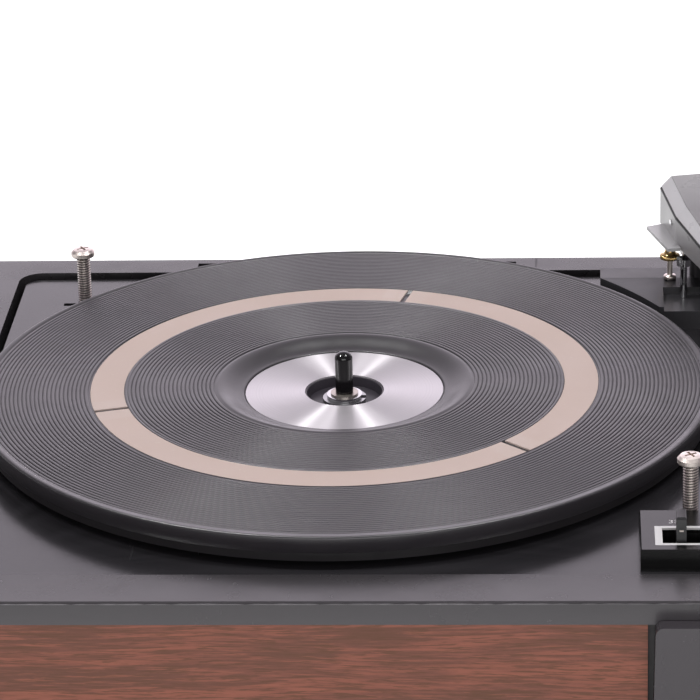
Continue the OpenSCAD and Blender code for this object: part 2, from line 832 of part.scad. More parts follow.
module unit_plate() color("#2e2d30") {
    at_deck() difference() {
        union() {
            difference() {
                plate_centre() translate([0, 0, -deck_edge_h]) rounded_slab(deck_w, deck_d, deck_edge_h, deck_r);
                plate_centre() translate([0, 0, -deck_edge_h - cut])
                    rounded_slab(deck_w - 2 * deck_t, deck_d - 2 * deck_t,
                        deck_edge_h - deck_t + cut, deck_r - deck_t);
                translate([0, 0, -deck_edge_h - cut]) cylinder(r = well_r, h = deck_edge_h + 2 * cut);
            }
            well();
        }
        // Bearing tube, motor shaft and the screws that hang the motor
        sheet_hole([0, 0], well_under, tube_r + seat);
        sheet_hole([motor_x, motor_y], well_under, 9);
        for (p = motor_hangers) sheet_hole([motor_x, motor_y] + p, well_under, hanger_r + seat);
        // Idler pivot, change gear post and main lever's stud
        sheet_hole([pivot_x, pivot_y], well_under, post_r + run);
        sheet_hole([cam_x, cam_y], well_under, gear_stud_r + run);
        sheet_hole(main_pivot, well_under, main_stud_r + run);
        // Slot that the main lever's follower pin swings in
        translate([main_follower[0], main_follower[1], well_under - cut]) rotate([0, 0, main_across])
            rounded_slab(18, 2 * main_pin_r + 1.6, deck_t + 2 * cut, main_pin_r + 0.6);
        // Slots for the speed and start slides
        translate([speed_x - 1.5, lever_y - 0.6, -deck_t - cut])
            cube([speed_travel + lever_w + 3, lever_d + 1.2, deck_t + 2 * cut]);
        translate([start_x - start_travel - 1.5, lever_y - 0.6, -deck_t - cut])
            cube([2 * start_travel + lever_w + 3, lever_d + 1.2, deck_t + 2 * cut]);
        // Arm shaft, transit screws and the slot beside the left one
        sheet_hole([arm_x, arm_y], -deck_t, arm_stud_r + run);
        for (p = [screw_left, screw_right]) sheet_hole(p, -deck_t, screw_r + 0.5);
        translate([screw_left[0] - 9, screw_left[1] - 4.5, -deck_t - cut])
            cube([8, 3, deck_t + 2 * cut]);
        // Fixing studs of the arm base, the control block and the arm rest
        for (p = concat(base_studs, block_studs, [rest_xy])) sheet_hole(p, -deck_t, stud_r + run);
        sheet_hole(lift_xy, -deck_t, lift_r + run);
    }
}

// Round hole at p through the sheet whose underside is at z
module sheet_hole(p, z, r) {
    translate([p[0], p[1], z - cut]) cylinder(r = r, h = deck_t + 2 * cut);
}

module plate_centre() {
    translate([deck_left + deck_w / 2, deck_front + deck_d / 2, 0]) children();
}

// Pressed well: the sheet follows a sloping wall down to a flat floor
module well() {
    slope = 4;
    t = deck_t;
    rotate_extrude() polygon([
        [0, well_floor], [well_r - slope, well_floor], [well_r, well_floor + slope], [well_r, 0],
        [well_r + t, 0], [well_r + t, well_floor + slope - t / 2], [well_r - slope + t / 2, well_under],
        [0, well_under]]);
}

// Bearing

module bearing_tube() color("#a5a5a8") {
    at_deck() difference() {
        union() {
            translate([0, 0, well_floor]) cylinder(r = thrust_r + 3.5, h = flange_top - well_floor);
            translate([0, 0, well_under - 3]) cylinder(r = tube_r, h = tube_top - well_under + 3);
        }
        translate([0, 0, well_under - 3 - cut])
            cylinder(r = collar_body_r + run, h = tube_top - well_under + 3 + 2 * cut);
        translate([0, 0, clip_z - 0.1]) ring(tube_r + cut, tube_r - clip_groove, clip_t + 0.2);
    }
}

module thrust_washers() color("#b4b4b6") {
    at_deck() {
        translate([0, 0, flange_top]) ring(thrust_r, tube_r + 0.2, washer_t);
        translate([0, 0, balls_z + ball_d + ball_gap]) ring(thrust_r, tube_r + 0.2, washer_t);
    }
}

module at_balls() {
    for (i = [0 : ball_count - 1]) rotate([0, 0, i * 360 / ball_count])
        translate([(thrust_r + tube_r) / 2, 0, balls_z + ball_gap / 2 + ball_d / 2]) children();
}

module thrust_cage() color("#c49a4a") {
    at_deck() difference() {
        translate([0, 0, balls_z + ball_d / 2 - 0.5]) ring(thrust_r - 0.3, tube_r + 0.3, 1);
        at_balls() translate([0, 0, -cut]) cylinder(r = ball_d / 2 + 0.1, h = 2 * cut);
    }
}

module thrust_balls() color("#d0d0d2") {
    at_deck() at_balls() sphere(r = ball_d / 2);
}

// Snap ring with a gap, seated in the tube's groove above the hub
module retaining_clip() color("#9c9ca0") {
    at_deck() translate([0, 0, clip_z]) difference() {
        ring(tube_r + 1.6, tube_r - clip_groove + run, clip_t);
        translate([0, -1.5, -cut]) cube([2 * tube_r, 3, clip_t + 2 * cut]);
    }
}

module spindle_collar() color("#d9d0c4") {
    at_deck() difference() {
        union() {
            translate([0, 0, tube_top]) cylinder(r = collar_r, h = collar_t);
            translate([0, 0, well_floor]) cylinder(r = collar_body_r, h = tube_top - well_floor + 0.01);
        }
        translate([0, 0, well_floor - cut])
            cylinder(r = shank_r + run, h = tube_top + collar_t - well_floor + 2 * cut);
    }
}

// Stub with a rounded tip; its thinner shank drops into the collar
module stub_spindle() color("#151516") {
    low = well_floor + 2;
    shoulder = tube_top + collar_t + seat;
    nose = spindle_r * 0.8;
    at_deck() rotate_extrude() polygon(concat(
        [[0, low], [shank_r, low], [shank_r, shoulder], [spindle_r, shoulder]],
        [for (a = [0 : 10 : 90]) [spindle_r * cos(a), spindle_tip - nose + nose * sin(a)]]));
}

// Platter

module platter() color("#3a393b") {
    bore = tube_r + bore_clear;
    at_deck() {
        rotate_extrude() polygon([
            [bore, hub_bottom], [hub_r, hub_bottom], [hub_r, cup_under], [cup_r + platter_t, cup_under],
            [cup_r + platter_t + 0.8, centre_top - platter_t], [dish_foot, centre_top - platter_t],
            [dish_foot + 4, platter_under], [platter_r - skirt_t, platter_under], [platter_r - skirt_t, skirt_z],
            [platter_r, skirt_z], [platter_r, platter_top], [dish_foot + 3, platter_top],
            [dish_foot - 1, centre_top], [cup_r + 0.8, centre_top], [cup_r, cup_floor], [bore, cup_floor]]);
        translate([0, 0, -drive_depth])
            ring(drive_r + drive_wall, drive_r, drive_depth + platter_under + platter_t / 2);
    }
}

function ribs(r0, r1) = [for (i = [0 : floor((r1 - r0) / rib_pitch) - 1]) r0 + (i + 0.5) * rib_pitch];

// Points of the mat's top over one groove
function groove(r) = [[r - rib_pitch * 0.3, mat_top], [r, mat_top - rib_depth], [r + rib_pitch * 0.3, mat_top]];

module platter_mat() color("#3d3b3d") {
    top = concat(
        [for (r = ribs(dish_r + 1, inlay_r_in - 0.6)) each groove(r)],
        [[inlay_r_in - inlay_fit, mat_top], [inlay_r_in - inlay_fit, mat_top - inlay_t],
         [inlay_r_out + inlay_fit, mat_top - inlay_t], [inlay_r_out + inlay_fit, mat_top]],
        [for (r = ribs(inlay_r_out + 0.8, rib_r_max)) each groove(r)]);
    edge = [for (a = [90 : -15 : 0])
        [mat_r - mat_edge_r + mat_edge_r * cos(a), mat_top - mat_edge_r + mat_edge_r * sin(a)]];
    lip_in = platter_r + run;
    at_deck() rotate_extrude() polygon(concat(
        [[label_r + 0.5, centre_top], [label_r + 0.5, label_top + 0.3], [dish_r, mat_top]],
        top, edge,
        [[mat_r, platter_top - mat_lip], [lip_in, platter_top - mat_lip], [lip_in, platter_top],
         [dish_foot + 3, platter_top], [dish_foot - 1, centre_top]]));
}

module inlay_ring() color("#d5c0b6") {
    at_deck() translate([0, 0, mat_top - inlay_t]) difference() {
        ring(inlay_r_out, inlay_r_in, inlay_t);
        for (i = [0 : 2]) rotate([0, 0, inlay_angle + 120 * i])
            translate([inlay_r_in - cut, -inlay_break / 2, -cut])
                cube([inlay_r_out - inlay_r_in + 2 * cut, inlay_break, inlay_t + 2 * cut]);
    }
}

module label_disc() color("#c3c4c8") {
    at_deck() translate([0, 0, centre_top]) ring(label_r, label_hole_r, label_t);
}

// Gear outline with straight-flanked teeth; the teeth of a gap of given width are left out
module gear_outline(teeth, gap) {
    m = gear_module;
    r = m * teeth / 2;
    root = r - 1.2 * m;
    tip = r + 0.9 * m;
    step = 360 / teeth;
    circle(r = root);
    for (i = [gap / 2 : teeth - 1 - gap / 2]) rotate([0, 0, (i + 0.5) * step])
        polygon([[root - 1, -m * 0.9], [root, -m * 0.9], [r, -m * 0.72], [tip, -m * 0.36],
                 [tip, m * 0.36], [r, m * 0.72], [root, m * 0.9], [root - 1, m * 0.9]]);
}

module hub_pinion() color("#e6e2d6") {
    at_deck() translate([0, 0, gear_z]) linear_extrude(gear_t) difference() {
        gear_outline(pinion_teeth, 0);
        circle(r = pinion_bore);
    }
}

// Motor, hung on grommets under the well

module motor_stator() color("#56575a") {
    w = motor_w;
    at_motor() translate([0, 0, stack_bottom]) linear_extrude(motor_stack) difference() {
        translate([-w / 2, -stator_front]) square([w, stator_front + stator_back]);
        circle(r = rotor_r + rotor_gap);
        // Window on each side of the leg that carries the coil
        for (x = [-1, 1]) translate([x * (leg_w / 2 + window_w / 2) - window_w / 2, leg_y])
            square([window_w, coil_len]);
        for (p = motor_bolts) translate(p) circle(r = bolt_r + run);
    }
}

module motor_coil() color("#b98a4a") {
    at_motor() translate([-leg_w / 2 - coil_wall, leg_y + seat, stack_bottom - coil_wall])
        difference() {
            cube([leg_w + 2 * coil_wall, coil_len - 2 * seat, motor_stack + 2 * coil_wall]);
            translate([coil_wall - 0.1, -cut, coil_wall - 0.1])
                cube([leg_w + 0.2, coil_len + 2 * cut, motor_stack + 0.2]);
        }
}

module motor_bracket_arms(places, w) {
    linear_extrude(bracket_t) {
        for (p = places) link([0, 0], p, w);
        for (p = motor_bolts) link([0, 0], p, 10);
        circle(r = 9);
    }
}

module motor_brackets() color("#9fa1a4") {
    boss_h = 5;
    at_motor() {
        // Upper bracket, with its bearing boss, pillars and hanger arms
        difference() {
            union() {
                translate([0, 0, bracket_z]) motor_bracket_arms(motor_hangers, 12);
                post([0, 0], boss_h, bracket_z - boss_h, bracket_z + 0.5);
                for (p = motor_bolts) post(p, pillar_r, stack_top, bracket_z + 0.5);
            }
            post([0, 0], shaft_r + run, bracket_z - boss_h - cut, bracket_z + bracket_t + cut);
            for (p = motor_hangers) post(p, grommet_hole_r, bracket_z - cut, bracket_z + bracket_t + cut);
            for (p = motor_bolts) post(p, bolt_r + run, stack_top - cut, bracket_z + bracket_t + cut);
        }
        // Lower bracket
        difference() {
            union() {
                translate([0, 0, lower_bracket_z]) motor_bracket_arms([], 10);
                post([0, 0], 7, lower_bracket_z + 0.5, lower_bracket_z + 0.5 + boss_h);
                for (p = motor_bolts) post(p, pillar_r, lower_bracket_z + bracket_t - 0.5, stack_bottom);
            }
            post([0, 0], shaft_r + run, lower_bracket_z + bracket_t, stack_bottom);
            for (p = motor_bolts) post(p, bolt_r + run, lower_bracket_z - cut, stack_bottom + cut);
        }
    }
}

// Rubber grommets that sit in the bracket's arms
module motor_grommets() color("#1d1d1e") {
    h = well_under - bracket_z - bracket_t;
    at_motor() for (p = motor_hangers) translate([p[0], p[1], bracket_z]) rotate_extrude() polygon([
        [hanger_r + run, -4], [grommet_r - 1, -4], [grommet_r, -seat], [grommet_hole_r - run, -seat],
        [grommet_hole_r - run, bracket_t + seat], [grommet_r, bracket_t + seat], [grommet_r - 1, bracket_t + h],
        [hanger_r + run, bracket_t + h]]);
}

// Long motor bolts and the shouldered screws that hang the motor
module motor_screws() color("#8f9092") {
    at_motor() {
        for (p = motor_hangers) {
            post(p, hanger_r, bracket_z - 6, well_floor + 0.5);
            post(p, 4, well_floor, well_floor + 1.6);
            post(p, 4.5, bracket_z - 6, bracket_z - 4.2);
        }
        for (p = motor_bolts) {
            post(p, bolt_r + 1.4, lower_bracket_z - bolt_head_h, lower_bracket_z);
            post(p, bolt_r, lower_bracket_z - bolt_head_h, bracket_z + bracket_t + 1);
        }
    }
}

module motor_rotor() color("#7f8184") {
    at_motor() {
        post([0, 0], rotor_r, stack_bottom - 1, stack_top + 1);
        post([0, 0], shaft_r, lower_bracket_z + bracket_t + seat, pulley_top - 1);
    }
}

module motor_pulley() color("#c9a54f") {
    bore = shaft_r + 0.02;
    at_motor() rotate_extrude() polygon([
        [bore, pulley_z], [pulley_33_r, pulley_z], [pulley_33_r, pulley_z + pulley_low_h],
        [pulley_45_r, pulley_z + pulley_low_h], [pulley_45_r, pulley_z + pulley_low_h + pulley_step_h],
        [pulley_78_r, pulley_z + pulley_low_h + pulley_step_h], [pulley_78_r, pulley_top],
        [bore, pulley_top]]);
}

// Idler drive

// Crank and post that swing the idler away; the slide's slot drives the pin at its end
module idler_crank() color("#8b8c8f") {
    pin_at = [crank_pin_x, -crank_r];
    at_deck() translate([pivot_x, pivot_y, 0]) {
        translate([0, 0, crank_z]) bar([0, 0], pin_at, 8, crank_t);
        post(pin_at, crank_pin_r, crank_z + 0.5, strip_z + strip_t);
        post([0, 0], post_r, crank_z + 0.5, post_top);
        // Shoulder under the well's floor
        post([0, 0], post_r + 2, crank_z + 0.5, well_under - seat);
    }
}

module idler_carrier() color("#9a9b9e") {
    at_deck() difference() {
        translate([0, 0, carrier_z]) union() {
            bar([pivot_x, pivot_y], [idler_x, idler_y], 8, carrier_t);
            translate([pivot_x, pivot_y, 0.3]) cylinder(r = sleeve_r, h = sleeve_h - 0.3);
            translate([idler_x, idler_y, 0.3]) cylinder(r = axle_r, h = carrier_t + 2 * hub_half + 0.7);
            translate([idler_x, idler_y, 0.3]) cylinder(r = axle_r + 1.5, h = carrier_t - 0.2);
        }
        translate([pivot_x, pivot_y, carrier_z - cut]) cylinder(r = post_r + run, h = sleeve_h + 2 * cut);
    }
}

module at_idler() {
    at_deck() translate([idler_x, idler_y, idler_z]) children();
}

module idler_wheel() color("#d8d3c6") {
    web = 0.8;
    at_idler() rotate_extrude() polygon([
        [axle_r + run, -hub_half], [wheel_hub_r, -hub_half], [wheel_hub_r, -web], [tyre_r - 2, -web],
        [tyre_r - 2, -idler_t / 2 + 0.1], [tyre_r, -idler_t / 2 + 0.1], [tyre_r, idler_t / 2 - 0.1],
        [tyre_r - 2, idler_t / 2 - 0.1], [tyre_r - 2, web], [wheel_hub_r, web], [wheel_hub_r, hub_half],
        [axle_r + run, hub_half]]);
}

module idler_tyre() color("#1a1a1a") {
    h = idler_t / 2;
    at_idler() rotate_extrude() polygon([
        [tyre_r + 0.02, -h], [idler_r - 0.5, -h], [idler_r, -h + 0.5], [idler_r, h - 0.5],
        [idler_r - 0.5, h], [tyre_r + 0.02, h]]);
}

// Controls

// Steel slide under the plate: a slotted strip that works the crank, and the tab under the lever
module speed_slide() color("#8b8c8f") {
    x0 = pivot_x + crank_pin_x - 12;
    x1 = speed_x + lever_w + 4;
    at_deck() difference() {
        union() {
            translate([x0, strip_y - strip_w / 2, strip_z]) cube([x1 - x0, strip_w, strip_t]);
            translate([speed_x + lever_w / 2 - tab_t / 2, lever_y + 1, strip_z])
                cube([tab_t, lever_d - 2, tab_top - strip_z]);
        }
        translate([pivot_x + crank_pin_x, strip_y, strip_z - cut]) linear_extrude(strip_t + 2 * cut)
            rounded_rect(2 * crank_pin_r + 0.3, strip_w - 3, crank_pin_r);
    }
}

// Moulded blade, pushed over the slide's tab
module lever_blade(x) {
    low = 2.2;
    at_deck() difference() {
        translate([x, lever_y, low]) lever_form(lever_tip - low);
        translate([x + lever_w / 2 - tab_t / 2 - run, lever_y + 1 - run, low - cut])
            cube([tab_t + 2 * run, lever_d - 2 + 2 * run, tab_top - low + cut + 0.2]);
    }
}

// Blade with a sloping front and a chamfered tip
module lever_form(h) {
    c = 0.8;
    intersection() {
        rotate([90, 0, 90]) linear_extrude(lever_w) polygon([
            [0, 0], [lever_d, 0], [lever_d, h - c], [lever_d - c, h], [1.4 + c, h], [1.4, h - c]]);
        rotate([90, 0, 0]) translate([0, 0, -lever_d - cut]) linear_extrude(lever_d + 2 * cut) polygon([
            [0, 0], [lever_w, 0], [lever_w, h - c / 2], [lever_w - c / 2, h], [c / 2, h], [0, h - c / 2]]);
    }
}

module speed_lever() color("#38363a") {
    lever_blade(speed_x);
}

module start_slide() color("#8b8c8f") {
    at_deck() {
        translate([start_x - 10, lever_y + 1, start_strip_z]) cube([lever_w + 20, lever_d - 2, 1.2]);
        // Turned-down finger that works the switch
        translate([start_x - start_travel + 0.3, lever_y + 1, start_strip_z - 5])
            cube([1.2, lever_d + 11, 5.5]);
        translate([start_x + lever_w / 2 - tab_t / 2, lever_y + 1, start_strip_z])
            cube([tab_t, lever_d - 2, tab_top - start_strip_z]);
    }
}

module start_lever() color("#38363a") {
    lever_blade(start_x);
}

// Switch box under the plate; the start slide's end works its plunger
module mains_switch() color("#3b2a20") {
    at_deck() translate([start_x + 2, lever_y + lever_d + 3, -deck_t - switch_h]) difference() {
        cube([switch_w, switch_d, switch_h]);
        translate([-cut, 4, switch_h - 6]) cube([3 + cut, 6, 3]);
    }
}

module slot_outline(x, w, inset) {
    translate([x + (inset > 0 ? trim_end : 0), slot_y + inset])
        square([w - (inset > 0 ? trim_end + trim_bar : 0), trim_d - 2 * inset]);
}

module control_block() color("#1c1b1d") {
    c = 0.5;
    at_deck() {
        difference() {
            intersection() {
                translate([block_x, block_y, 0]) cube([block_w, block_d, block_h]);
                translate([block_x, block_y + block_d + cut, 0]) rotate([90, 0, 0])
                    linear_extrude(block_d + 2 * cut) polygon([
                        [0, 0], [block_w, 0], [block_w, block_h - c], [block_w - c, block_h], [c, block_h],
                        [0, block_h - c]]);
                translate([block_x - cut, block_y, 0]) rotate([90, 0, 90])
                    linear_extrude(block_w + 2 * cut) polygon([
                        [0, 0], [block_d, 0], [block_d, block_h - c], [block_d - c, block_h], [c, block_h],
                        [0, block_h - c]]);
            }
            // Hollow underneath, open to the plate
            translate([block_x + block_floor_t, block_y + block_floor_t, -cut])
                cube([block_w - 2 * block_floor_t, block_d - 2 * block_floor_t, block_h - block_floor_t + cut]);
            // Slots, and the seats of their outlines
            translate([0, 0, block_h - trim_t]) linear_extrude(trim_t + cut) {
                slot_outline(slot_x, speed_slot_w, 0);
                slot_outline(start_slot_x, start_slot_w, 0);
            }
            translate([0, 0, -cut]) linear_extrude(block_h + 2 * cut) {
                slot_outline(slot_x, speed_slot_w, trim_bar);
                slot_outline(start_slot_x, start_slot_w, trim_bar);
            }
        }
        for (p = block_studs) translate([p[0], p[1], -deck_t - 3])
            cylinder(r = stud_r, h = block_h - 1 + deck_t + 3);
    }
}

module slot_trim() color("#efecee") {
    at_deck() translate([0, 0, block_h - trim_t]) linear_extrude(trim_t) {
        difference() {
            slot_outline(slot_x, speed_slot_w, 0);
            slot_outline(slot_x, speed_slot_w, trim_bar);
        }
        difference() {
            slot_outline(start_slot_x, start_slot_w, 0);
            slot_outline(start_slot_x, start_slot_w, trim_bar);
        }
    }
}

// Change gear, its post and the trip pawl on it

module change_gear() color("#8d8f92") {
    at_deck() translate([cam_x, cam_y, gear_z]) rotate([0, 0, cam_angle + 180])
        difference() {
            union() {
                linear_extrude(gear_t) gear_outline(cam_teeth, cam_gap_teeth);
                translate([0, 0, -2]) cylinder(r = gear_post_r + 4, h = gear_t + 3);
                translate([pawl_pivot[0], pawl_pivot[1], 2]) cylinder(r = pawl_pin_r, h = gear_t - 0.4);
            }
            translate([0, 0, -3]) cylinder(r = gear_post_r + run, h = gear_t + 6);
            // Lightening holes and the cam track underneath
            for (a = [60 : 60 : 300]) rotate([0, 0, a]) translate([cam_r * 0.4, 0, -cut])
                cylinder(r = 6, h = gear_t + 2 * cut);
            translate([0, 0, -cut]) ring(cam_track_r + 2, cam_track_r - 2, 1.6 + cut);
        }
}

module gear_post() color("#a5a5a8") {
    p = [cam_x, cam_y];
    at_deck() {
        post(p, gear_post_r + 4, well_floor, gear_z - 2.2);
        post(p, gear_post_r, well_floor, gear_z + gear_t + 2.6);
        post(p, gear_post_r + 2, gear_z + gear_t + 1.3, gear_z + gear_t + 2.1);
        post(p, gear_stud_r, well_under - 2, well_floor + 0.8);
        post(p, gear_stud_r + 1.5, well_under - 2, well_under - 0.02);
    }
}

module trip_pawl() color("#c8b070") {
    tip = [cam_r - 3.5, 1];
    at_deck() translate([cam_x, cam_y, pawl_z]) rotate([0, 0, cam_angle + 180]) linear_extrude(pawl_t)
        difference() {
            union() {
                link(pawl_pivot, tip, 4);
                translate(pawl_pivot) circle(r = 4);
            }
            translate(pawl_pivot) circle(r = pawl_pin_r + run);
        }
}

// Lever that follows the track under the change gear and reaches out to the pickup arm
module main_lever() color("#8b8c8f") {
    at_deck() difference() {
        union() {
            translate([0, 0, main_z]) linear_extrude(main_t) {
                link(main_follower, main_pivot, main_w);
                link(main_pivot, main_end, main_w);
            }
            translate([main_follower[0], main_follower[1], main_z + 0.5])
                cylinder(r = main_pin_r, h = gear_z + 1.2 - main_z - 0.5);
        }
        translate([main_pivot[0], main_pivot[1], main_z - cut])
            cylinder(r = main_stud_r + run, h = main_t + 2 * cut);
    }
}

// Stud that carries the main lever under the well
module lever_stud() color("#a5a5a8") {
    at_deck() {
        post(main_pivot, main_stud_r, main_z - 1, well_floor + 0.5);
        post(main_pivot, main_stud_r + 2, main_z - 1.8, main_z - 0.6);
        post(main_pivot, main_stud_r + 1.2, well_floor, well_floor + 1.2);
    }
}

// Pickup arm

// Moulding that wraps round the platter and carries the arm; its top slopes down to the front
module arm_base() color("#3c3b3e") {
    ridge_y = base_rear - 12.5;
    low_h = base_h - 2;
    at_deck() {
        difference() {
            union() {
                intersection() {
                    translate([base_x, base_front, 0]) cube([base_w, base_rear - base_front, base_h]);
                    translate([base_x - cut, 0, 0]) rotate([90, 0, 90]) linear_extrude(base_w + 2 * cut)
                        polygon([[base_front, 0], [base_rear, 0], [base_rear, base_h - 1],
                                 [base_rear - 1, base_h], [ridge_y, base_h], [base_front, low_h]]);
                }
                // Boss for the arm's bearing
                translate([arm_x, arm_y, 0]) cylinder(r = arm_bearing_r, h = bearing_top);
            }
            // Cut-out round the platter
            translate([0, 0, -cut]) cylinder(r = base_arc_r, h = bearing_top);
            // Pocket of the lift pin, open to the front
            translate([pocket_x, base_front - cut, pocket_z])
                cube([pocket_w, pocket_d + cut, base_h]);
            // Hollow underneath
            translate([0, 0, -cut]) linear_extrude(low_h - skin_t + cut) difference() {
                translate([base_x + skin_t, base_front + skin_t])
                    square([base_w - 2 * skin_t, base_rear - base_front - 2 * skin_t]);
                circle(r = base_arc_r + skin_t);
                translate([arm_x, arm_y]) circle(r = arm_bearing_r);
                translate(lift_xy) circle(r = lift_r + 3);
                translate(height_xy) circle(r = height_stud_r + 3);
                translate([pocket_x - skin_t, base_front]) square([pocket_w + 2 * skin_t, pocket_d + skin_t]);
                for (p = base_studs) translate(p) circle(r = stud_r + 1.5);
            }
            translate([arm_x, arm_y, -cut]) cylinder(r = arm_shaft_r + run, h = bearing_top + 2 * cut);
            translate([lift_xy[0], lift_xy[1], -cut]) cylinder(r = lift_r + run, h = base_h + 2 * cut);
            translate([height_xy[0], height_xy[1], 2]) cylinder(r = height_stud_r + run, h = base_h);
        }
        for (p = base_studs) translate([p[0], p[1], -deck_t - 4]) cylinder(r = stud_r, h = deck_t + 5);
        translate([arm_x, arm_y, -deck_t - 3]) ring(arm_stud_r, arm_shaft_r + run, deck_t + 4);
    }
}

// Swinging yoke: shaft through the base, two ears for the tilt pins, and the cam plate below
module arm_yoke() color("#8a888b") {
    at_arm() difference() {
        union() {
            translate([0, 0, shaft_bottom]) cylinder(r = arm_shaft_r, h = yoke_z + yoke_t - shaft_bottom);
            translate([-yoke_hl, -ear_y, yoke_z]) cube([2 * yoke_hl, 2 * ear_y, yoke_t]);
            for (y = [-ear_y, ear_y - yoke_t]) translate([0, y, yoke_z]) yoke_ear();
            // Plate under the unit plate that the main lever works
            translate([0, 0, shaft_bottom]) linear_extrude(yoke_t) intersection() {
                circle(r = sector_r);
                polygon([[0, 0], [-2 * sector_r, sector_r * 1.4], [-2 * sector_r, -sector_r * 1.4]]);
            }
            translate([0, 0, shaft_bottom]) cylinder(r = 6.5, h = yoke_t);
        }
        translate([0, -ear_y - cut, tilt_z]) rotate([-90, 0, 0])
            cylinder(r = pin_r + 0.02, h = 2 * ear_y + 2 * cut);
    }
}

module yoke_ear() {
    h = tilt_z - yoke_z + 4;
    rotate([-90, 0, 0]) mirror([0, 1, 0]) linear_extrude(yoke_t)
        polygon([[-7, 0], [7, 0], [5, h - 3], [2, h], [-2, h], [-5, h - 3]]);
}

// Two pins on which the arm tilts
module arm_pins() color("#c9c9cc") {
    at_arm() for (s = [-1, 1]) translate([0, s * (ear_y + arm_gap_mid), tilt_z]) rotate([90, 0, 0])
        cylinder(r = pin_r, h = arm_pin_len, center = true);
}

// One cross section of the arm's shell, a thin slice to loft from
module arm_slice(x, hw, z0, z1, c) {
    translate([x, 0, 0]) rotate([90, 0, 90]) linear_extrude(0.01)
        polygon([[-hw, z0], [hw, z0], [hw, z1 - c], [hw - c, z1], [c - hw, z1], [-hw, z1 - c]]);
}

// The arm's outline grown or shrunk by a wall; the same stations serve inside and outside
module arm_form(inset) {
    low = inset > 0 ? -cut : 0;
    hull() {
        arm_slice(-tail_len + inset, tail_hw - inset - 1, tail_z + low, tail_top - inset - 3, 5);
        arm_slice(-tail_len + 3 + inset, tail_hw - inset, tail_z + low, tail_top - inset, 5);
        arm_slice(6, tail_hw - inset, tail_z + low, tail_top - inset - 4, 5);
    }
    hull() {
        arm_slice(6, tail_hw - inset, tail_z + low, tail_top - inset - 4, 5);
        arm_slice(neck_x, beam_hw + 2 - inset, beam_z + 2 + low, beam_top + 4 - inset, 2.5);
    }
    hull() {
        arm_slice(neck_x, beam_hw + 2 - inset, beam_z + 2 + low, beam_top + 4 - inset, 2.5);
        arm_slice(arm_front - (inset > 0 ? 1 : 0), beam_hw - inset, beam_z + low, beam_top - inset, 2);
    }
}

module tonearm() color("#a3a1a5") {
    at_arm() difference() {
        union() {
            difference() {
                arm_form(0);
                arm_form(arm_wall);
            }
            // Lift plate beside the pivot
            translate([0, 0, tail_z]) linear_extrude(arm_wall)
                polygon([[-16, -tail_hw + 0.5], [14, -tail_hw + 0.5], [14, -tail_hw - 5], [-14, -tail_hw - 7.5]]);
        }
        translate([0, -tail_hw - cut, tilt_z]) rotate([-90, 0, 0])
            cylinder(r = pin_r + run, h = 2 * tail_hw + 2 * cut);
    }
}

module head_shell() color("#2c2b2d") {
    w = arm_wall;
    at_arm() difference() {
        union() {
            hull() {
                arm_slice(arm_front + 0.02, beam_hw + 0.6, beam_z - 1, shell_top, 2);
                arm_slice(arm_front + 10, head_hw, shell_z, shell_top, 2.5);
                arm_slice(head_front - 6, head_hw, shell_z, shell_top - 2, 2.5);
                arm_slice(head_front, head_hw - 2, shell_z, shell_top - 5, 2.5);
            }
            // Finger lift
            translate([head_front - 14, head_hw - 0.5, shell_z + 4]) finger_lift();
        }
        hull() {
            arm_slice(arm_front + 9, head_hw - w - 2, shell_z - cut, shell_top - w, 2);
            arm_slice(arm_front + 11, head_hw - w, shell_z - cut, shell_top - w, 2);
            arm_slice(head_front - 7, head_hw - w, shell_z - cut, shell_top - 2 - w, 2);
            arm_slice(head_front - w, head_hw - 2 - w, shell_z - cut, shell_top - 5 - w, 2);
        }
    }
}

module finger_lift() {
    rotate([90, 0, 90]) linear_extrude(7)
        polygon([[0, 0], [4, 0.6], [8, 2.6], [11, 5.6], [10.4, 6.4], [7.4, 3.6], [3.8, 1.8], [0, 1.2]]);
}

// Cartridge hung under the shell's roof, with its connecting pins
module cartridge() color("#1d1c1e") {
    x0 = arm_len - 9;
    roof = shell_top - arm_wall - 5;
    at_arm() {
        translate([x0, -cart_hw, cart_z]) cube([15, 2 * cart_hw, roof - cart_z]);
        translate([x0 + 4, -3, cart_z]) cube([7, 6, shell_top - arm_wall - 2.6 - cart_z]);
        for (y = [-3.3, 3.3]) translate([x0 - 3, y, cart_z + 3]) rotate([0, 90, 0]) cylinder(r = 0.6, h = 4);
    }
}

// Turnover stylus: a bar on a pivot below the cartridge, with its tip and thumb tab
module stylus_lever() color("#b9b4a8") {
    z = cart_z - seat;
    at_arm() {
        translate([arm_len - 4, 0, z - 1]) cylinder(r = 2, h = 1);
        translate([arm_len - 4, -0.8, z - 1]) cube([13, 1.6, 0.8]);
        translate([arm_len + 8, -1.6, z - 1]) cube([2, 3.2, 1]);
        translate([arm_len, 0, stylus_z]) rotate_extrude()
            polygon([[0, 0], [0.12, 0], [0.45, 0.9], [0.45, z - 0.9 - stylus_z], [0, z - 0.9 - stylus_z]]);
    }
}

// Lift pin with its collar, standing in the base's pocket
module lift_pin() color("#d8dadd") {
    top = nut_top - lift_stroke;
    at_deck() translate([lift_xy[0], lift_xy[1], 0]) {
        translate([0, 0, -deck_t - 3]) cylinder(r = lift_r, h = top - collar_h + deck_t + 3.5);
        translate([0, 0, top - collar_h]) cylinder(r = lift_collar_r, h = collar_h);
    }
}

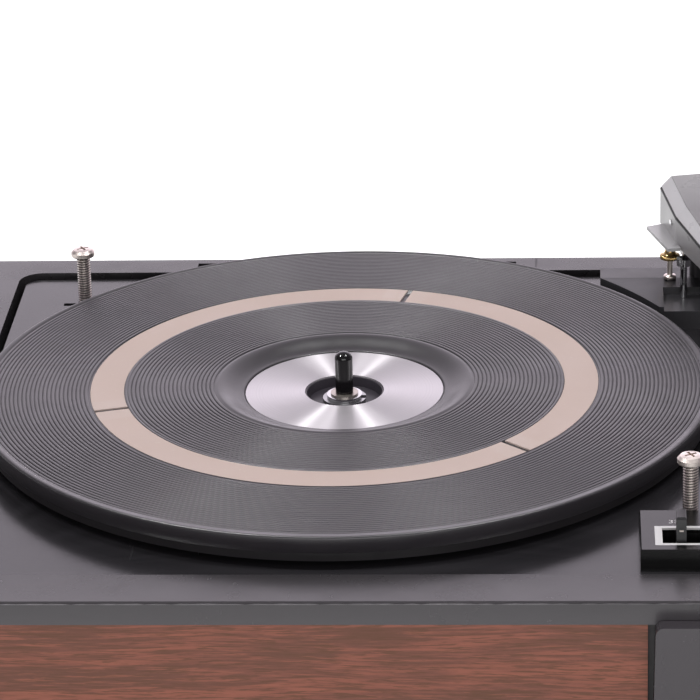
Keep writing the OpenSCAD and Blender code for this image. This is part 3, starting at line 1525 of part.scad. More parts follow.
// Brass thumb nut on its steel stud, the stop that sets the arm's height
module height_screw() color("#c8a45a") {
    at_deck() translate([height_xy[0], height_xy[1], 0]) {
        translate([0, 0, 2]) cylinder(r = height_stud_r, h = nut_top - 4);
        translate([0, 0, nut_top - 6.5]) rotate_extrude()
            polygon([[0, 0], [1.8, 0], [2.4, 1.6], [2.4, 4.5], [1.8, 6.5], [0, 6.5]]);
        translate([0, 0, base_h + 0.02]) cylinder(r = 2.6, h = 1.4);
    }
}

// Post and cradle that hold the resting arm; the cradle is open towards the platter
module arm_rest() color("#222123") {
    w = 2;
    post_r = 3;
    at_deck() translate([rest_xy[0], rest_xy[1], 0]) rotate([0, 0, arm_rest_angle - 90]) {
        rotate_extrude() polygon([
            [0, -deck_t - 3], [stud_r, -deck_t - 3], [stud_r, 0], [post_r + 2, 0], [post_r + 2, 1.5],
            [post_r, 3.5], [post_r, rest_z - seat - w + 0.2], [0, rest_z - seat - w + 0.2]]);
        translate([-5, -6, rest_z - seat - w]) cube([10, 15.5, w]);
        translate([-5, 7.8, rest_z - seat - w]) rotate([90, 0, 90]) linear_extrude(10)
            polygon([[0, 0], [1.7, 0], [2.6, 12], [1.2, 12], [0, 8]]);
    }
}

// The whole object

base_board();
rubber_feet();
case_screws();
side_boards();
front_board();
rear_board();
wood_front_panel();
front_corner_panel();
top_moulding();
cable_grommet();
suspension_springs();
transit_screw_left();
transit_screw_right();
transit_clips();
unit_plate();
bearing_tube();
thrust_washers();
thrust_cage();
thrust_balls();
retaining_clip();
spindle_collar();
stub_spindle();
platter();
platter_mat();
inlay_ring();
label_disc();
hub_pinion();
motor_stator();
motor_coil();
motor_brackets();
motor_grommets();
motor_screws();
motor_rotor();
motor_pulley();
idler_crank();
idler_carrier();
idler_wheel();
idler_tyre();
speed_slide();
speed_lever();
start_slide();
start_lever();
mains_switch();
control_block();
slot_trim();
change_gear();
gear_post();
trip_pawl();
main_lever();
lever_stud();
arm_base();
arm_yoke();
arm_pins();
tonearm();
head_shell();
cartridge();
stylus_lever();
lift_pin();
height_screw();
arm_rest();
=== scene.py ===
"""Looks of the record changer turntable: camera, materials, finely modelled pieces and light."""
import json
import math

import bmesh
import bpy
from mathutils import Matrix, Vector


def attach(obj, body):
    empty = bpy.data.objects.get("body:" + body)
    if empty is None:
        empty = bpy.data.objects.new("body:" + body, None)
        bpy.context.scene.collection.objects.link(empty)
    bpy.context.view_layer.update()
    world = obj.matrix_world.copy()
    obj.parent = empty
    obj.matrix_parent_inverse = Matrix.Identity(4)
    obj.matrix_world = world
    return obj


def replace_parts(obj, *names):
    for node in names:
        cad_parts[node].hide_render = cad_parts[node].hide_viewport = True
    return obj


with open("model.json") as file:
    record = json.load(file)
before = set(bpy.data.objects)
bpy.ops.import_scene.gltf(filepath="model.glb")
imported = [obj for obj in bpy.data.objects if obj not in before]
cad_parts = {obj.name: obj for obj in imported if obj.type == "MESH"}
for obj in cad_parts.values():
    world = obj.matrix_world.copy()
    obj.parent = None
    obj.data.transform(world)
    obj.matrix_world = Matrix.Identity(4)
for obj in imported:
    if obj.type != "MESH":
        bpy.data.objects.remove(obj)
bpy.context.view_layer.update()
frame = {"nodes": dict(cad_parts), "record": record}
nodes = frame["nodes"]
TAU = 2 * math.pi
MM = 0.001  # metres in a millimetre
# Spindle axis at the top of the unit plate, in millimetres; the CAD source measures from there
DECK = (-30.0, 10.45, 95.9)


def at(x, y, z):
    """A point given from the spindle in millimetres, in the scene's metres."""
    return Vector(((x + DECK[0]) * MM, (y + DECK[1]) * MM, (z + DECK[2]) * MM))


# Camera, fitted to the photograph: position in millimetres, angles in degrees, focal length in pixels
CAMERA_AT = (60.07, -1377.75, 692.7)
YAW, PITCH, ROLL = (math.radians(a) for a in (3.603, 22.316, 1.644))
FOCAL_PX, FRAME_PX = 3804.0, 700.0
SENSOR_MM, CLIP_START, CLIP_END = 36.0, 0.05, 50


def make_camera():
    forward = Vector((-math.sin(YAW) * math.cos(PITCH), math.cos(YAW) * math.cos(PITCH), -math.sin(PITCH)))
    right = Vector((math.cos(YAW), math.sin(YAW), 0))
    down = forward.cross(right)
    c, s = math.cos(ROLL), math.sin(ROLL)
    across, below = c * right + s * down, c * down - s * right
    data = bpy.data.cameras.new("photo_camera")
    data.sensor_width = SENSOR_MM
    data.lens = FOCAL_PX / FRAME_PX * data.sensor_width
    data.clip_start, data.clip_end = CLIP_START, CLIP_END
    camera = bpy.data.objects.new("photo_camera", data)
    bpy.context.scene.collection.objects.link(camera)
    turn = Matrix((across, -below, -forward)).transposed().to_4x4()
    camera.matrix_world = Matrix.Translation(Vector(CAMERA_AT) * MM) @ turn
    bpy.context.scene.camera = camera


make_camera()


# Materials

class Nodes:
    """A material's node tree, with one short method for each kind of node the materials use."""

    def __init__(self, name):
        self.material = bpy.data.materials.new(name)
        self.material.use_nodes = True
        self.tree = self.material.node_tree
        self.shader = self.tree.nodes["Principled BSDF"]
        self.coords = self.add("ShaderNodeTexCoord").outputs["Object"]

    def add(self, kind, **values):
        node = self.tree.nodes.new(kind)
        for key, value in values.items():
            setattr(node, key, value)
        return node

    def join(self, source, socket):
        if isinstance(source, (int, float)):
            socket.default_value = source
        elif isinstance(source, (tuple, list)):
            alpha = (1.0,) if len(source) == 3 and socket.type == "RGBA" else ()
            socket.default_value = tuple(source) + alpha
        else:
            self.tree.links.new(source, socket)

    def place(self, scale=(1, 1, 1), move=(0, 0, 0), turn=(0, 0, 0), source=None):
        node = self.add("ShaderNodeMapping")
        self.join(source or self.coords, node.inputs["Vector"])
        node.inputs["Scale"].default_value = scale
        node.inputs["Location"].default_value = move
        node.inputs["Rotation"].default_value = turn
        return node.outputs[0]

    def noise(self, scale, detail=4, rough=0.5, source=None):
        node = self.add("ShaderNodeTexNoise")
        self.join(source or self.coords, node.inputs["Vector"])
        for key, value in (("Scale", scale), ("Detail", detail), ("Roughness", rough)):
            node.inputs[key].default_value = value
        return node.outputs["Fac"]

    def bands(self, scale, direction, distortion=0.0, profile="SIN"):
        node = self.add("ShaderNodeTexWave", bands_direction=direction, wave_profile=profile)
        self.join(self.coords, node.inputs["Vector"])
        for key, value in (("Scale", scale), ("Distortion", distortion)):
            node.inputs[key].default_value = value
        return node.outputs["Fac"]

    def ramp(self, source, *stops):
        """Colour ramp through (place, colour or grey value) stops."""
        node = self.add("ShaderNodeValToRGB")
        self.join(source, node.inputs["Fac"])
        band = node.color_ramp
        while len(band.elements) < len(stops):
            band.elements.new(0.5)
        for element, (place, value) in zip(band.elements, stops):
            element.position = place
            element.color = (value,) * 3 + (1,) if isinstance(value, (int, float)) else tuple(value) + (1,)
        return node.outputs["Color"]

    def spread(self, source, low, high, start=0.0, end=1.0):
        """Maps the source's values from start to end onto low to high, and holds them there beyond."""
        node = self.add("ShaderNodeMapRange")
        self.join(source, node.inputs["Value"])
        for key, value in (("From Min", start), ("From Max", end), ("To Min", low), ("To Max", high)):
            node.inputs[key].default_value = value
        return node.outputs["Result"]

    def math(self, kind, a, b):
        node = self.add("ShaderNodeMath", operation=kind)
        self.join(a, node.inputs[0])
        self.join(b, node.inputs[1])
        return node.outputs[0]

    def mix(self, factor, a, b):
        node = self.add("ShaderNodeMix", data_type="RGBA")
        self.join(factor, node.inputs[0])
        self.join(a, node.inputs[6])
        self.join(b, node.inputs[7])
        return node.outputs[2]

    def bump(self, height, depth, strength):
        """Bump whose height source runs over 0 to 1 and stands for the given depth in metres."""
        node = self.add("ShaderNodeBump")
        self.join(height, node.inputs["Height"])
        node.inputs["Strength"].default_value = strength
        node.inputs["Distance"].default_value = depth
        return node.outputs["Normal"]

    def radius(self, centre):
        """Distance from a vertical axis through a point of the scene."""
        shifted = self.place(move=(-centre[0], -centre[1], 0))
        flat = self.add("ShaderNodeVectorMath", operation="MULTIPLY")
        self.join(shifted, flat.inputs[0])
        flat.inputs[1].default_value = (1, 1, 0)
        length = self.add("ShaderNodeVectorMath", operation="LENGTH")
        self.join(flat.outputs[0], length.inputs[0])
        return length.outputs["Value"]

    def edges(self, low, high):
        """1 where the surface is bent outwards past high, 0 below low; hollows when high is the lower one."""
        pointiness = self.add("ShaderNodeNewGeometry").outputs["Pointiness"]
        return self.spread(pointiness, 0.0, 1.0, low, high)

    def finish(self, **sockets):
        names = {
            "color": "Base Color", "rough": "Roughness", "metal": "Metallic", "normal": "Normal",
            "specular": "Specular IOR Level", "coat": "Coat Weight", "coat_rough": "Coat Roughness",
            "aniso": "Anisotropic", "turned": "Anisotropic Rotation", "tangent": "Tangent",
        }
        for key, value in sockets.items():
            self.join(value, self.shader.inputs[names[key]])
        return self.material


SPINDLE = at(0, 0, 0)
HUB_EDGE = (0.019, 0.021)  # where the platter's hub colour ends, in metres from the spindle
# Outward bend of worn edges, from where wear begins to where it is full, and the same for hollows
# darkened as painted shade
WORN_EDGE, BRIGHT_EDGE, SHADED_HOLLOW = (0.53, 0.6), (0.52, 0.6), (0.5, 0.44)
# Wood colours: the broad figure from dark to light, then the dark and light streaks, the pores and worn edges
WOOD_FIGURE = ((0.40, (0.100, 0.030, 0.047)), (0.47, (0.165, 0.046, 0.061)),
               (0.54, (0.240, 0.065, 0.074)), (0.62, (0.350, 0.096, 0.089)))
WOOD_DARK, WOOD_LIGHT = (0.080, 0.024, 0.038), (0.44, 0.124, 0.106)
WOOD_PORES, WOOD_WORN = (0.045, 0.016, 0.022), (0.36, 0.19, 0.1)
WOOD_WAVER = 0.022  # how far the grain wanders up and down, in metres
SHEET_PAIRS = 100  # two laminations each, in every metre of the stack
VARNISHED_EDGE, SHEET_GREY, SHEET_LIGHT = (0.05, 0.05, 0.055), (0.26, 0.26, 0.27), (0.33, 0.33, 0.34)
RUST = (0.16, 0.07, 0.03)
TAPE_LAP, TAPE_EDGE = (0.30, 0.15, 0.03), (0.58, 0.36, 0.08)
TAPE_AMBER, WIRE_BROWN = (0.66, 0.43, 0.12), (0.4, 0.16, 0.05)


def shade(color, factor):
    return tuple(min(1.0, c * factor) for c in color)


def plastic(name, color, rough=0.35, grain=0.00004, mottle=0.15, coat=0.0, scuffs=0.0, specular=0.5,
            edge_wear_and_highlight=0.35, hub=None):
    """Moulded plastic or stoved paint: slight mottling, fine orange peel, dust and handling scuffs.
    The lightening of the edges is wear, and where it is large, as on the corner panel, also a painted
    highlight; hub is the colour inside the platter's hub."""
    n = Nodes(name)
    cloud = n.noise(14, 6, 0.6)
    tint = n.ramp(cloud, (0.3, shade(color, 1 - mottle)), (0.7, shade(color, 1 + mottle)))
    if hub:
        tint = n.mix(n.spread(n.radius(SPINDLE), 1.0, 0.0, *HUB_EDGE), tint, hub)
    dust = n.spread(n.noise(900, 2, 0.5), 0.0, 1.0, 0.66, 0.8)
    tint = n.mix(n.math("MULTIPLY", dust, 0.25), tint, shade(color, 2.2))
    roughness = n.spread(n.noise(45, 5, 0.65), rough * 0.82, rough * 1.22, 0.3, 0.7)
    if scuffs:
        marks = n.noise(1.0, 3, 0.5, source=n.place((260, 18, 40), turn=(0, 0, 0.4)))
        worn = n.spread(marks, 0.0, 1.0, 0.7, 0.74)
        tint = n.mix(n.math("MULTIPLY", worn, scuffs), tint, shade(color, 4.0))
        roughness = n.math("ADD", roughness, n.math("MULTIPLY", worn, 0.2))
    # Edges lightened: wear, and on the corner panel a painted highlight as well
    rub = n.edges(*WORN_EDGE)
    tint = n.mix(n.math("MULTIPLY", rub, edge_wear_and_highlight), tint, shade(color, 4.0))
    peel = n.bump(n.noise(1400, 2, 0.5), grain, 0.6)
    return n.finish(color=tint, rough=roughness, normal=peel, coat=coat, coat_rough=0.12,
                    specular=specular)


def steel(name, color, rough=0.3, streak=(30, 30, 900), stain=0.2, metal=1.0, depth=0.00002, painted_hollow_shade=0.0):
    """Drawn, turned or plated metal: streaks along the working direction, dull patches, and, where asked
    for, painted shade that darkens the hollows."""
    n = Nodes(name)
    lines = n.noise(1.0, 6, 0.7, source=n.place(streak))
    patches = n.noise(35, 5, 0.6)
    tint = n.ramp(lines, (0.25, shade(color, 0.85)), (0.75, shade(color, 1.1)))
    tint = n.mix(n.spread(patches, 0.0, stain, 0.55, 0.75), tint, shade(color, 0.45))
    roughness = n.math("ADD", n.spread(lines, rough * 0.75, rough * 1.25, 0.25, 0.75),
                       n.spread(patches, 0.0, 0.16, 0.5, 0.8))
    rub = n.edges(*BRIGHT_EDGE)
    tint = n.mix(n.math("MULTIPLY", rub, 0.3), tint, shade(color, 1.25))
    # Painted shade: the hollows darkened almost to black, standing in for the shade that falls in them
    if painted_hollow_shade:
        shaded_hollow = n.edges(*SHADED_HOLLOW)
        tint = n.mix(n.math("MULTIPLY", shaded_hollow, painted_hollow_shade), tint, shade(color, 0.08))
    return n.finish(color=tint, rough=roughness, metal=metal, normal=n.bump(lines, depth, 0.5))


def rubber(name, color, rough=0.6, dusty=0.3, pores=0.00005, specular=0.5):
    """Rubber with bloom, lint specks and a matt skin."""
    n = Nodes(name)
    bloom = n.noise(9, 5, 0.55)
    tint = n.ramp(bloom, (0.3, shade(color, 0.86)), (0.72, shade(color, 1.18)))
    specks = n.spread(n.noise(1600, 1, 0.5), 0.0, 1.0, 0.7, 0.82)
    tint = n.mix(n.math("MULTIPLY", specks, dusty), tint, shade(color, 2.6))
    roughness = n.spread(n.noise(60, 4, 0.6), rough * 0.86, rough * 1.12, 0.3, 0.7)
    return n.finish(color=tint, rough=roughness, specular=specular,
                    normal=n.bump(n.noise(2200, 2, 0.6), pores, 0.5))


def board(name, color, rough=0.5, streak=(4, 60, 60), contrast=0.35):
    """Fibre or ply board with a painted or raw skin."""
    n = Nodes(name)
    fibre = n.noise(1.0, 8, 0.65, source=n.place(streak))
    fine = n.noise(700, 3, 0.6)
    tint = n.ramp(fibre, (0.3, shade(color, 1 - contrast)), (0.7, shade(color, 1 + contrast)))
    tint = n.mix(n.spread(fine, 0.0, 0.35, 0.45, 0.75), tint, shade(color, 0.55))
    rub = n.edges(*WORN_EDGE)
    tint = n.mix(n.math("MULTIPLY", rub, 0.4), tint, shade(color, 1.8))
    height = n.math("ADD", n.math("MULTIPLY", fibre, 0.5), n.math("MULTIPLY", fine, 0.5))
    return n.finish(color=tint, rough=n.spread(fibre, rough * 0.85, rough * 1.2, 0.3, 0.7),
                    normal=n.bump(height, 0.00012, 0.6))


def walnut(name):
    """Lacquered walnut of the front panel: a broad figure, dark and light streaks, and fine pores."""
    n = Nodes(name)
    bend = n.noise(3.2, 3, 0.5, source=n.place((1.0, 1, 3.2)))
    warp = n.add("ShaderNodeVectorMath", operation="MULTIPLY_ADD")
    n.join(bend, warp.inputs[0])
    warp.inputs[1].default_value = (0, 0, WOOD_WAVER)
    n.join(n.coords, warp.inputs[2])
    grain = warp.outputs[0]
    broad = n.noise(1.0, 4, 0.6, source=n.place((9, 1, 110), source=grain))
    streaks = n.noise(1.0, 5, 0.7, source=n.place((34, 1, 700), source=grain))
    pores = n.noise(1.0, 3, 0.6, source=n.place((90, 1, 1500), source=grain))
    tint = n.ramp(broad, *WOOD_FIGURE)
    tint = n.mix(n.spread(streaks, 0.0, 0.85, 0.5, 0.6), tint, WOOD_DARK)
    tint = n.mix(n.spread(streaks, 0.7, 0.0, 0.4, 0.48), tint, WOOD_LIGHT)
    tint = n.mix(n.spread(pores, 0.0, 0.8, 0.52, 0.6), tint, WOOD_PORES)
    rub = n.edges(*WORN_EDGE)
    tint = n.mix(n.math("MULTIPLY", rub, 0.4), tint, WOOD_WORN)
    return n.finish(color=tint, rough=n.spread(streaks, 0.34, 0.5, 0.3, 0.7), specular=0.2,
                    normal=n.bump(pores, 0.00006, 0.5))


def lathed(name, color, centre, rough=0.22, pitch=0.0006, metal=1.0, aniso=0.75, stain=0.15):
    """Metal turned on a lathe: rings about its axis, and highlights that fan out from the centre."""
    n = Nodes(name)
    r = n.radius(centre)
    along = n.add("ShaderNodeCombineXYZ")
    n.join(r, along.inputs[0])
    rings = n.noise(1 / pitch, 4, 0.75, source=along.outputs[0])
    coarse = n.noise(0.3 / pitch, 2, 0.5, source=along.outputs[0])
    patches = n.noise(60, 5, 0.6)
    tint = n.ramp(rings, (0.25, shade(color, 0.88)), (0.75, shade(color, 1.08)))
    tint = n.mix(n.spread(patches, 0.0, stain, 0.55, 0.8), tint, shade(color, 0.5))
    roughness = n.math("ADD", n.spread(rings, rough * 0.94, rough * 1.06, 0.2, 0.8),
                       n.spread(patches, 0.0, 0.02, 0.5, 0.8))
    tangent = n.add("ShaderNodeTangent", direction_type="RADIAL", axis="Z").outputs[0]
    both = n.math("ADD", n.math("MULTIPLY", rings, 0.6), n.math("MULTIPLY", coarse, 0.4))
    return n.finish(color=tint, rough=roughness, metal=metal, aniso=aniso, turned=0.25, tangent=tangent,
                    normal=n.bump(both, 0.000004, 0.5))


def laminated(name):
    """Stack of thin iron sheets, seen edge on, with a varnish film."""
    n = Nodes(name)
    sheets = n.bands(math.pi * SHEET_PAIRS, "Z", profile="SAW")
    rust = n.noise(90, 6, 0.65)
    tint = n.ramp(sheets, (0.0, VARNISHED_EDGE), (0.35, SHEET_GREY), (1.0, SHEET_LIGHT))
    tint = n.mix(n.spread(rust, 0.0, 0.6, 0.56, 0.72), tint, RUST)
    return n.finish(color=tint, rough=n.spread(rust, 0.3, 0.55, 0.3, 0.7), metal=0.8,
                    normal=n.bump(sheets, 0.00015, 0.8))


def wound(name):
    """Coil under amber tape: overlapping turns of tape with the wire showing through."""
    n = Nodes(name)
    tape = n.bands(16, "DIAGONAL", distortion=0.6, profile="SAW")
    wire = n.bands(300, "Z")
    tint = n.ramp(tape, (0.0, TAPE_LAP), (0.12, TAPE_EDGE), (1.0, TAPE_AMBER))
    tint = n.mix(n.spread(wire, 0.0, 0.25, 0.4, 0.8), tint, WIRE_BROWN)
    height = n.math("ADD", tape, n.math("MULTIPLY", wire, 0.3))
    return n.finish(color=tint, rough=n.spread(n.noise(80), 0.25, 0.45), coat=0.3, coat_rough=0.15,
                    normal=n.bump(height, 0.0002, 0.7))


LOOKS = {
    "moulding_plastic": plastic("moulding_plastic", (0.036, 0.033, 0.036), rough=0.25, scuffs=0.12),
    "cabinet_board": board("cabinet_board", (0.022, 0.020, 0.021), rough=0.45),
    "wood_veneer": walnut("wood_veneer"),
    "hardboard": board("hardboard", (0.23, 0.13, 0.06), rough=0.7, streak=(40, 40, 40)),
    "black_rubber": rubber("black_rubber", (0.022, 0.022, 0.023)),
    "spring_steel": steel("spring_steel", (0.45, 0.45, 0.46), 0.28, (60, 60, 60)),
    "zinc_steel": steel("zinc_steel", (0.84, 0.75, 0.70), 0.36, (40, 40, 500), stain=0.25),
    "deck_paint": plastic("deck_paint", (0.017, 0.016, 0.018), rough=0.17, scuffs=0.06),
    "ground_steel": steel("ground_steel", (0.62, 0.62, 0.63), 0.18, (20, 20, 1200), stain=0.1),
    "brass": steel("brass", (0.66, 0.46, 0.20), 0.24, (40, 40, 700), stain=0.3),
    "collar_steel": lathed("collar_steel", (0.44, 0.40, 0.36), SPINDLE, rough=0.3, pitch=0.0005),
    # The screws' zinc steel painted brighter on the thread as a highlight on its crests, with painted shade
    # in its hollows
    "thread_steel": steel("thread_steel", (0.95, 0.84, 0.78), 0.3, (40, 40, 500), stain=0.2, painted_hollow_shade=0.95),
    "dark_spindle": steel("dark_spindle", (0.010, 0.009, 0.010), 0.1, (30, 30, 900), metal=0.0),
    "platter_paint": plastic("platter_paint", (0.010, 0.009, 0.010), rough=0.38, hub=(0.05, 0.043, 0.055)),
    "mat_rubber": rubber("mat_rubber", (0.034, 0.030, 0.035), rough=0.36, specular=0.8),
    "inlay_metal": plastic("inlay_metal", (0.67, 0.44, 0.36), rough=0.5, mottle=0.04, specular=0.15),
    "label_metal": lathed("label_metal", (0.66, 0.63, 0.655), SPINDLE, rough=0.34, metal=0.5, aniso=1.0,
                          stain=0.05),
    "cream_nylon": plastic("cream_nylon", (0.62, 0.57, 0.45), rough=0.4, mottle=0.06),
    "lamination_steel": laminated("lamination_steel"),
    "coil_tape": wound("coil_tape"),
    "lever_plastic": plastic("lever_plastic", (0.010, 0.010, 0.011), rough=0.34, scuffs=0.1),
    "switch_plastic": plastic("switch_plastic", (0.08, 0.035, 0.018), rough=0.3, coat=0.3),
    "block_plastic": plastic("block_plastic", (0.005, 0.005, 0.005), rough=0.22),
    "trim_white": plastic("trim_white", (0.78, 0.76, 0.76), rough=0.3, mottle=0.04),
    "gear_alloy": steel("gear_alloy", (0.52, 0.52, 0.53), 0.34, (300, 300, 60), stain=0.25),
    "base_plastic": plastic("base_plastic", (0.030, 0.029, 0.032), rough=0.34),
    "arm_silver": plastic("arm_silver", (0.27, 0.255, 0.27), rough=0.3, mottle=0.05),
    # Painted highlight: a lighter copy of the arm's silver for the bands on its bevels
    "band_silver": plastic("band_silver", (0.62, 0.59, 0.63), rough=0.3, mottle=0.05),
    # Painted highlight: edges lightened far more than wear alone, for the bright lines along the panel's
    # edges
    "corner_plastic": plastic("corner_plastic", (0.016, 0.014, 0.016), rough=0.25, scuffs=0.15, edge_wear_and_highlight=0.9),
    # Light grey of the moulding's front edge line: worn spots, and a painted highlight of the edge
    "worn_edge": plastic("worn_edge", (0.15, 0.14, 0.15), rough=0.4, mottle=0.5, scuffs=0.2),
    "shell_plastic": plastic("shell_plastic", (0.018, 0.018, 0.019), rough=0.3),
    "cartridge_plastic": plastic("cartridge_plastic", (0.020, 0.019, 0.022), rough=0.28, coat=0.2),
    "stylus_metal": steel("stylus_metal", (0.60, 0.57, 0.50), 0.25, (200, 200, 200)),
    "chrome": steel("chrome", (0.80, 0.80, 0.81), 0.07, (30, 30, 900), stain=0.08),
}


def dress():
    """Gives every CAD node the look of its record slot."""
    for entry in frame["record"]["subparts"]:
        materials = nodes[entry["node"]].data.materials
        materials.clear()
        materials.append(LOOKS[entry["material_slot"]])


dress()


# Finely modelled pieces


def mesh_piece(name, verts, faces, look, body, smooth=True):
    """A new piece in its record slot's look, riding on a body; its points are in the scene's metres."""
    mesh = bpy.data.meshes.new(name)
    mesh.from_pydata([tuple(v) for v in verts], [], faces)
    mesh.validate()
    mesh.update()
    piece = bpy.data.objects.new(name, mesh)
    bpy.context.scene.collection.objects.link(piece)
    mesh.materials.append(LOOKS[look])
    mesh.polygons.foreach_set("use_smooth", [smooth] * len(mesh.polygons))
    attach(piece, body)
    return piece


def lathe(name, profile, centre, look, body, steps=192, flute=None):
    """Turned piece about the vertical axis at centre; profile holds (radius, height) points in
    millimetres, and flute(radius, height, angle) may change the radius, as a knurl does."""
    verts, faces = [], []
    for i in range(steps):
        angle = TAU * i / steps
        for r, z in profile:
            r = flute(r, z, angle) if flute else r
            verts.append(at(centre[0] + r * math.cos(angle), centre[1] + r * math.sin(angle), z))
    n = len(profile)
    for i in range(steps):
        j = (i + 1) % steps
        for k in range(n - 1):
            faces.append((i * n + k, j * n + k, j * n + k + 1, i * n + k + 1))
    return mesh_piece(name, verts, faces, look, body)


# Rubber mat, with the same main sizes as the CAD node and flat-topped ribs; sizes in millimetres

MAT_R, MAT_TOP, MAT_EDGE = 145.5, 12.5, 0.9
RIB_PITCH, RIB_DEPTH = 1.64, 0.5
# Outline of one rib: share of the pitch, share of the depth
RIB_SHAPE = ((0.0, 1.0), (0.08, 0.95), (0.13, 0.3), (0.2, 0.07), (0.34, 0.0),
             (0.66, 0.0), (0.8, 0.07), (0.87, 0.3), (0.92, 0.95))
INLAY_IN, INLAY_OUT, INLAY_T = 87.3, 100.6, 0.6
DISH_R, DISH_DEPTH, DISH_STEPS = 50.6, 3.5, 14
LABEL_R, LABEL_PLAY = 39.2, 0.5
RIB_FIELDS = ((DISH_R + 1, INLAY_IN - 0.6), (INLAY_OUT + 0.8, MAT_R - 2.2))


def rib_profile(r0, r1):
    """Flat-topped ribs with rounded shoulders, parted by narrow grooves."""
    points = []
    count = int((r1 - r0) / RIB_PITCH)
    for i in range(count):
        for share, fall in RIB_SHAPE:
            points.append((r0 + (i + share) * RIB_PITCH, MAT_TOP - RIB_DEPTH * fall))
    points.append((r0 + count * RIB_PITCH, MAT_TOP - 0.02))
    return points


def ribbed_mat():
    edge = [(MAT_R - MAT_EDGE + MAT_EDGE * math.sin(a), MAT_TOP - MAT_EDGE + MAT_EDGE * math.cos(a))
            for a in (math.radians(d) for d in range(0, 91, 10))]
    bore = LABEL_R + LABEL_PLAY
    dish = [(DISH_R - t * (DISH_R - bore), MAT_TOP - DISH_DEPTH * (1 - math.cos(math.pi * t)) / 2)
            for t in (1 - i / DISH_STEPS for i in range(DISH_STEPS + 1))]
    seat_in, seat_out = INLAY_IN - 0.1, INLAY_OUT + 0.1
    floor = MAT_TOP - INLAY_T
    seat = [(seat_in, MAT_TOP), (seat_in, floor), (seat_out, floor), (seat_out, MAT_TOP)]
    skirt = [(MAT_R, 6.2), (MAT_R - 0.3, 6.0), (MAT_R - 1.35, 6.0), (MAT_R - 1.35, 9.9)]
    underside = [(48, 9.95), (44, 8.1), (bore, 8.15)]
    inner, outer = (rib_profile(*field) for field in RIB_FIELDS)
    profile = [(bore, MAT_TOP - 4.3)] + dish + inner + seat + outer + edge + skirt + underside
    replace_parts(lathe("ribbed_mat", profile, (0, 0), "mat_rubber", "platter_body", 360), "platter_mat")


# Transit screws: rolled threads under the heads of the CAD nodes; sizes in millimetres

# Each screw's axis and the height of its head's lower face
SCREWS = {"left": ((-117.6, 118.5), 21.2), "right": ((133.6, -108.2), 25.0)}
THREAD_PITCH, THREAD_CREST, THREAD_ROOT = 1.08, 2.95, 2.35
# Outline of one turn of the thread: share of the pitch, radius
THREAD_SHAPE = ((0.0, THREAD_ROOT), (0.14, THREAD_ROOT), (0.42, THREAD_CREST), (0.54, THREAD_CREST),
                (0.86, THREAD_ROOT), (1.0, THREAD_ROOT))
THREAD_STEPS, THREAD_START = 24, 0.8
THREAD_LONG, SCREW_LONG, SCREW_R = 30, 56, 2.75


def reshaped(name, source, look, body, move=None, keep=None):
    """A piece that starts from a CAD node's mesh: keep(point) drops the rest of its points, and
    move(point) shifts them; both work in millimetres from the spindle."""
    def local(v):
        return Vector((v.co.x / MM - DECK[0], v.co.y / MM - DECK[1], v.co.z / MM - DECK[2]))

    work = bmesh.new()
    work.from_mesh(nodes[source].data)
    if keep:
        bmesh.ops.delete(work, geom=[v for v in work.verts if not keep(local(v))], context="VERTS")
    if move:
        for v in work.verts:
            v.co = at(*move(local(v)))
    mesh = bpy.data.meshes.new(name)
    work.to_mesh(mesh)
    work.free()
    piece = bpy.data.objects.new(name, mesh)
    bpy.context.scene.collection.objects.link(piece)
    mesh.materials.clear()
    mesh.materials.append(LOOKS[look])
    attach(piece, body)
    return piece


def thread(side):
    """Helical thread from just below the head down to the plain lower shank."""
    (x, y), under = SCREWS[side]
    verts, faces = [], []
    rings = int(THREAD_LONG / THREAD_PITCH) * THREAD_STEPS
    for i in range(rings + 1):
        angle = TAU * i / THREAD_STEPS
        fade = min(1.0, (rings - i) / THREAD_STEPS)
        for share, r in THREAD_SHAPE:
            r = THREAD_ROOT + (r - THREAD_ROOT) * fade
            z = under + THREAD_START - (i / THREAD_STEPS + share) * THREAD_PITCH
            verts.append(at(x + r * math.cos(angle), y - r * math.sin(angle), z))
    n = len(THREAD_SHAPE)
    for i in range(rings):
        for k in range(n - 1):
            faces.append((i * n + k, i * n + k + 1, (i + 1) * n + k + 1, (i + 1) * n + k))
    mesh_piece("thread_" + side, verts, faces, "thread_steel", side + "_screw")


def transit_screw(side):
    """One transit screw in three pieces: the thread, the plain shank below it, and the CAD node's head."""
    thread(side)
    centre, under = SCREWS[side]
    body = side + "_screw"
    low, tip = under - THREAD_LONG, under - SCREW_LONG
    shank = [(0, low + 1.6), (THREAD_ROOT, low + 1.6), (SCREW_R, low + 0.6), (SCREW_R, tip + 1),
             (SCREW_R - 0.6, tip), (0, tip)]
    lathe("shank_" + side, shank, centre, "zinc_steel", body, 32)
    head = reshaped("screw_head_" + side, "transit_screw_" + side, "zinc_steel", body,
                    keep=lambda p: p.z > under - 0.01)
    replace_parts(head, "transit_screw_" + side)


# Numbers of the three speeds, printed behind the slot

NUMBERS = {"33": 127.0, "45": 139.4, "78": 151.4}
NUMBER_Y, BLOCK_TOP, NUMBER_SIZE, NUMBER_THICK = -124.9, 8.3, 3.9, 0.02


def speed_numbers():
    for word, x in NUMBERS.items():
        curve = bpy.data.curves.new("number_" + word, "FONT")
        curve.body = word
        curve.size = NUMBER_SIZE * MM
        curve.align_x = "CENTER"
        curve.extrude = NUMBER_THICK * MM
        label = bpy.data.objects.new("number_" + word, curve)
        bpy.context.scene.collection.objects.link(label)
        label.location = at(x, NUMBER_Y, BLOCK_TOP + NUMBER_THICK)
        curve.materials.append(LOOKS["trim_white"])
        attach(label, "root")


# Height screw: knurled brass nut on a threaded stud with its foot; sizes in millimetres

HEIGHT_AT, NUT_TOP, NUT_HIGH = (131.6, 111.6), 27.2, 6.4
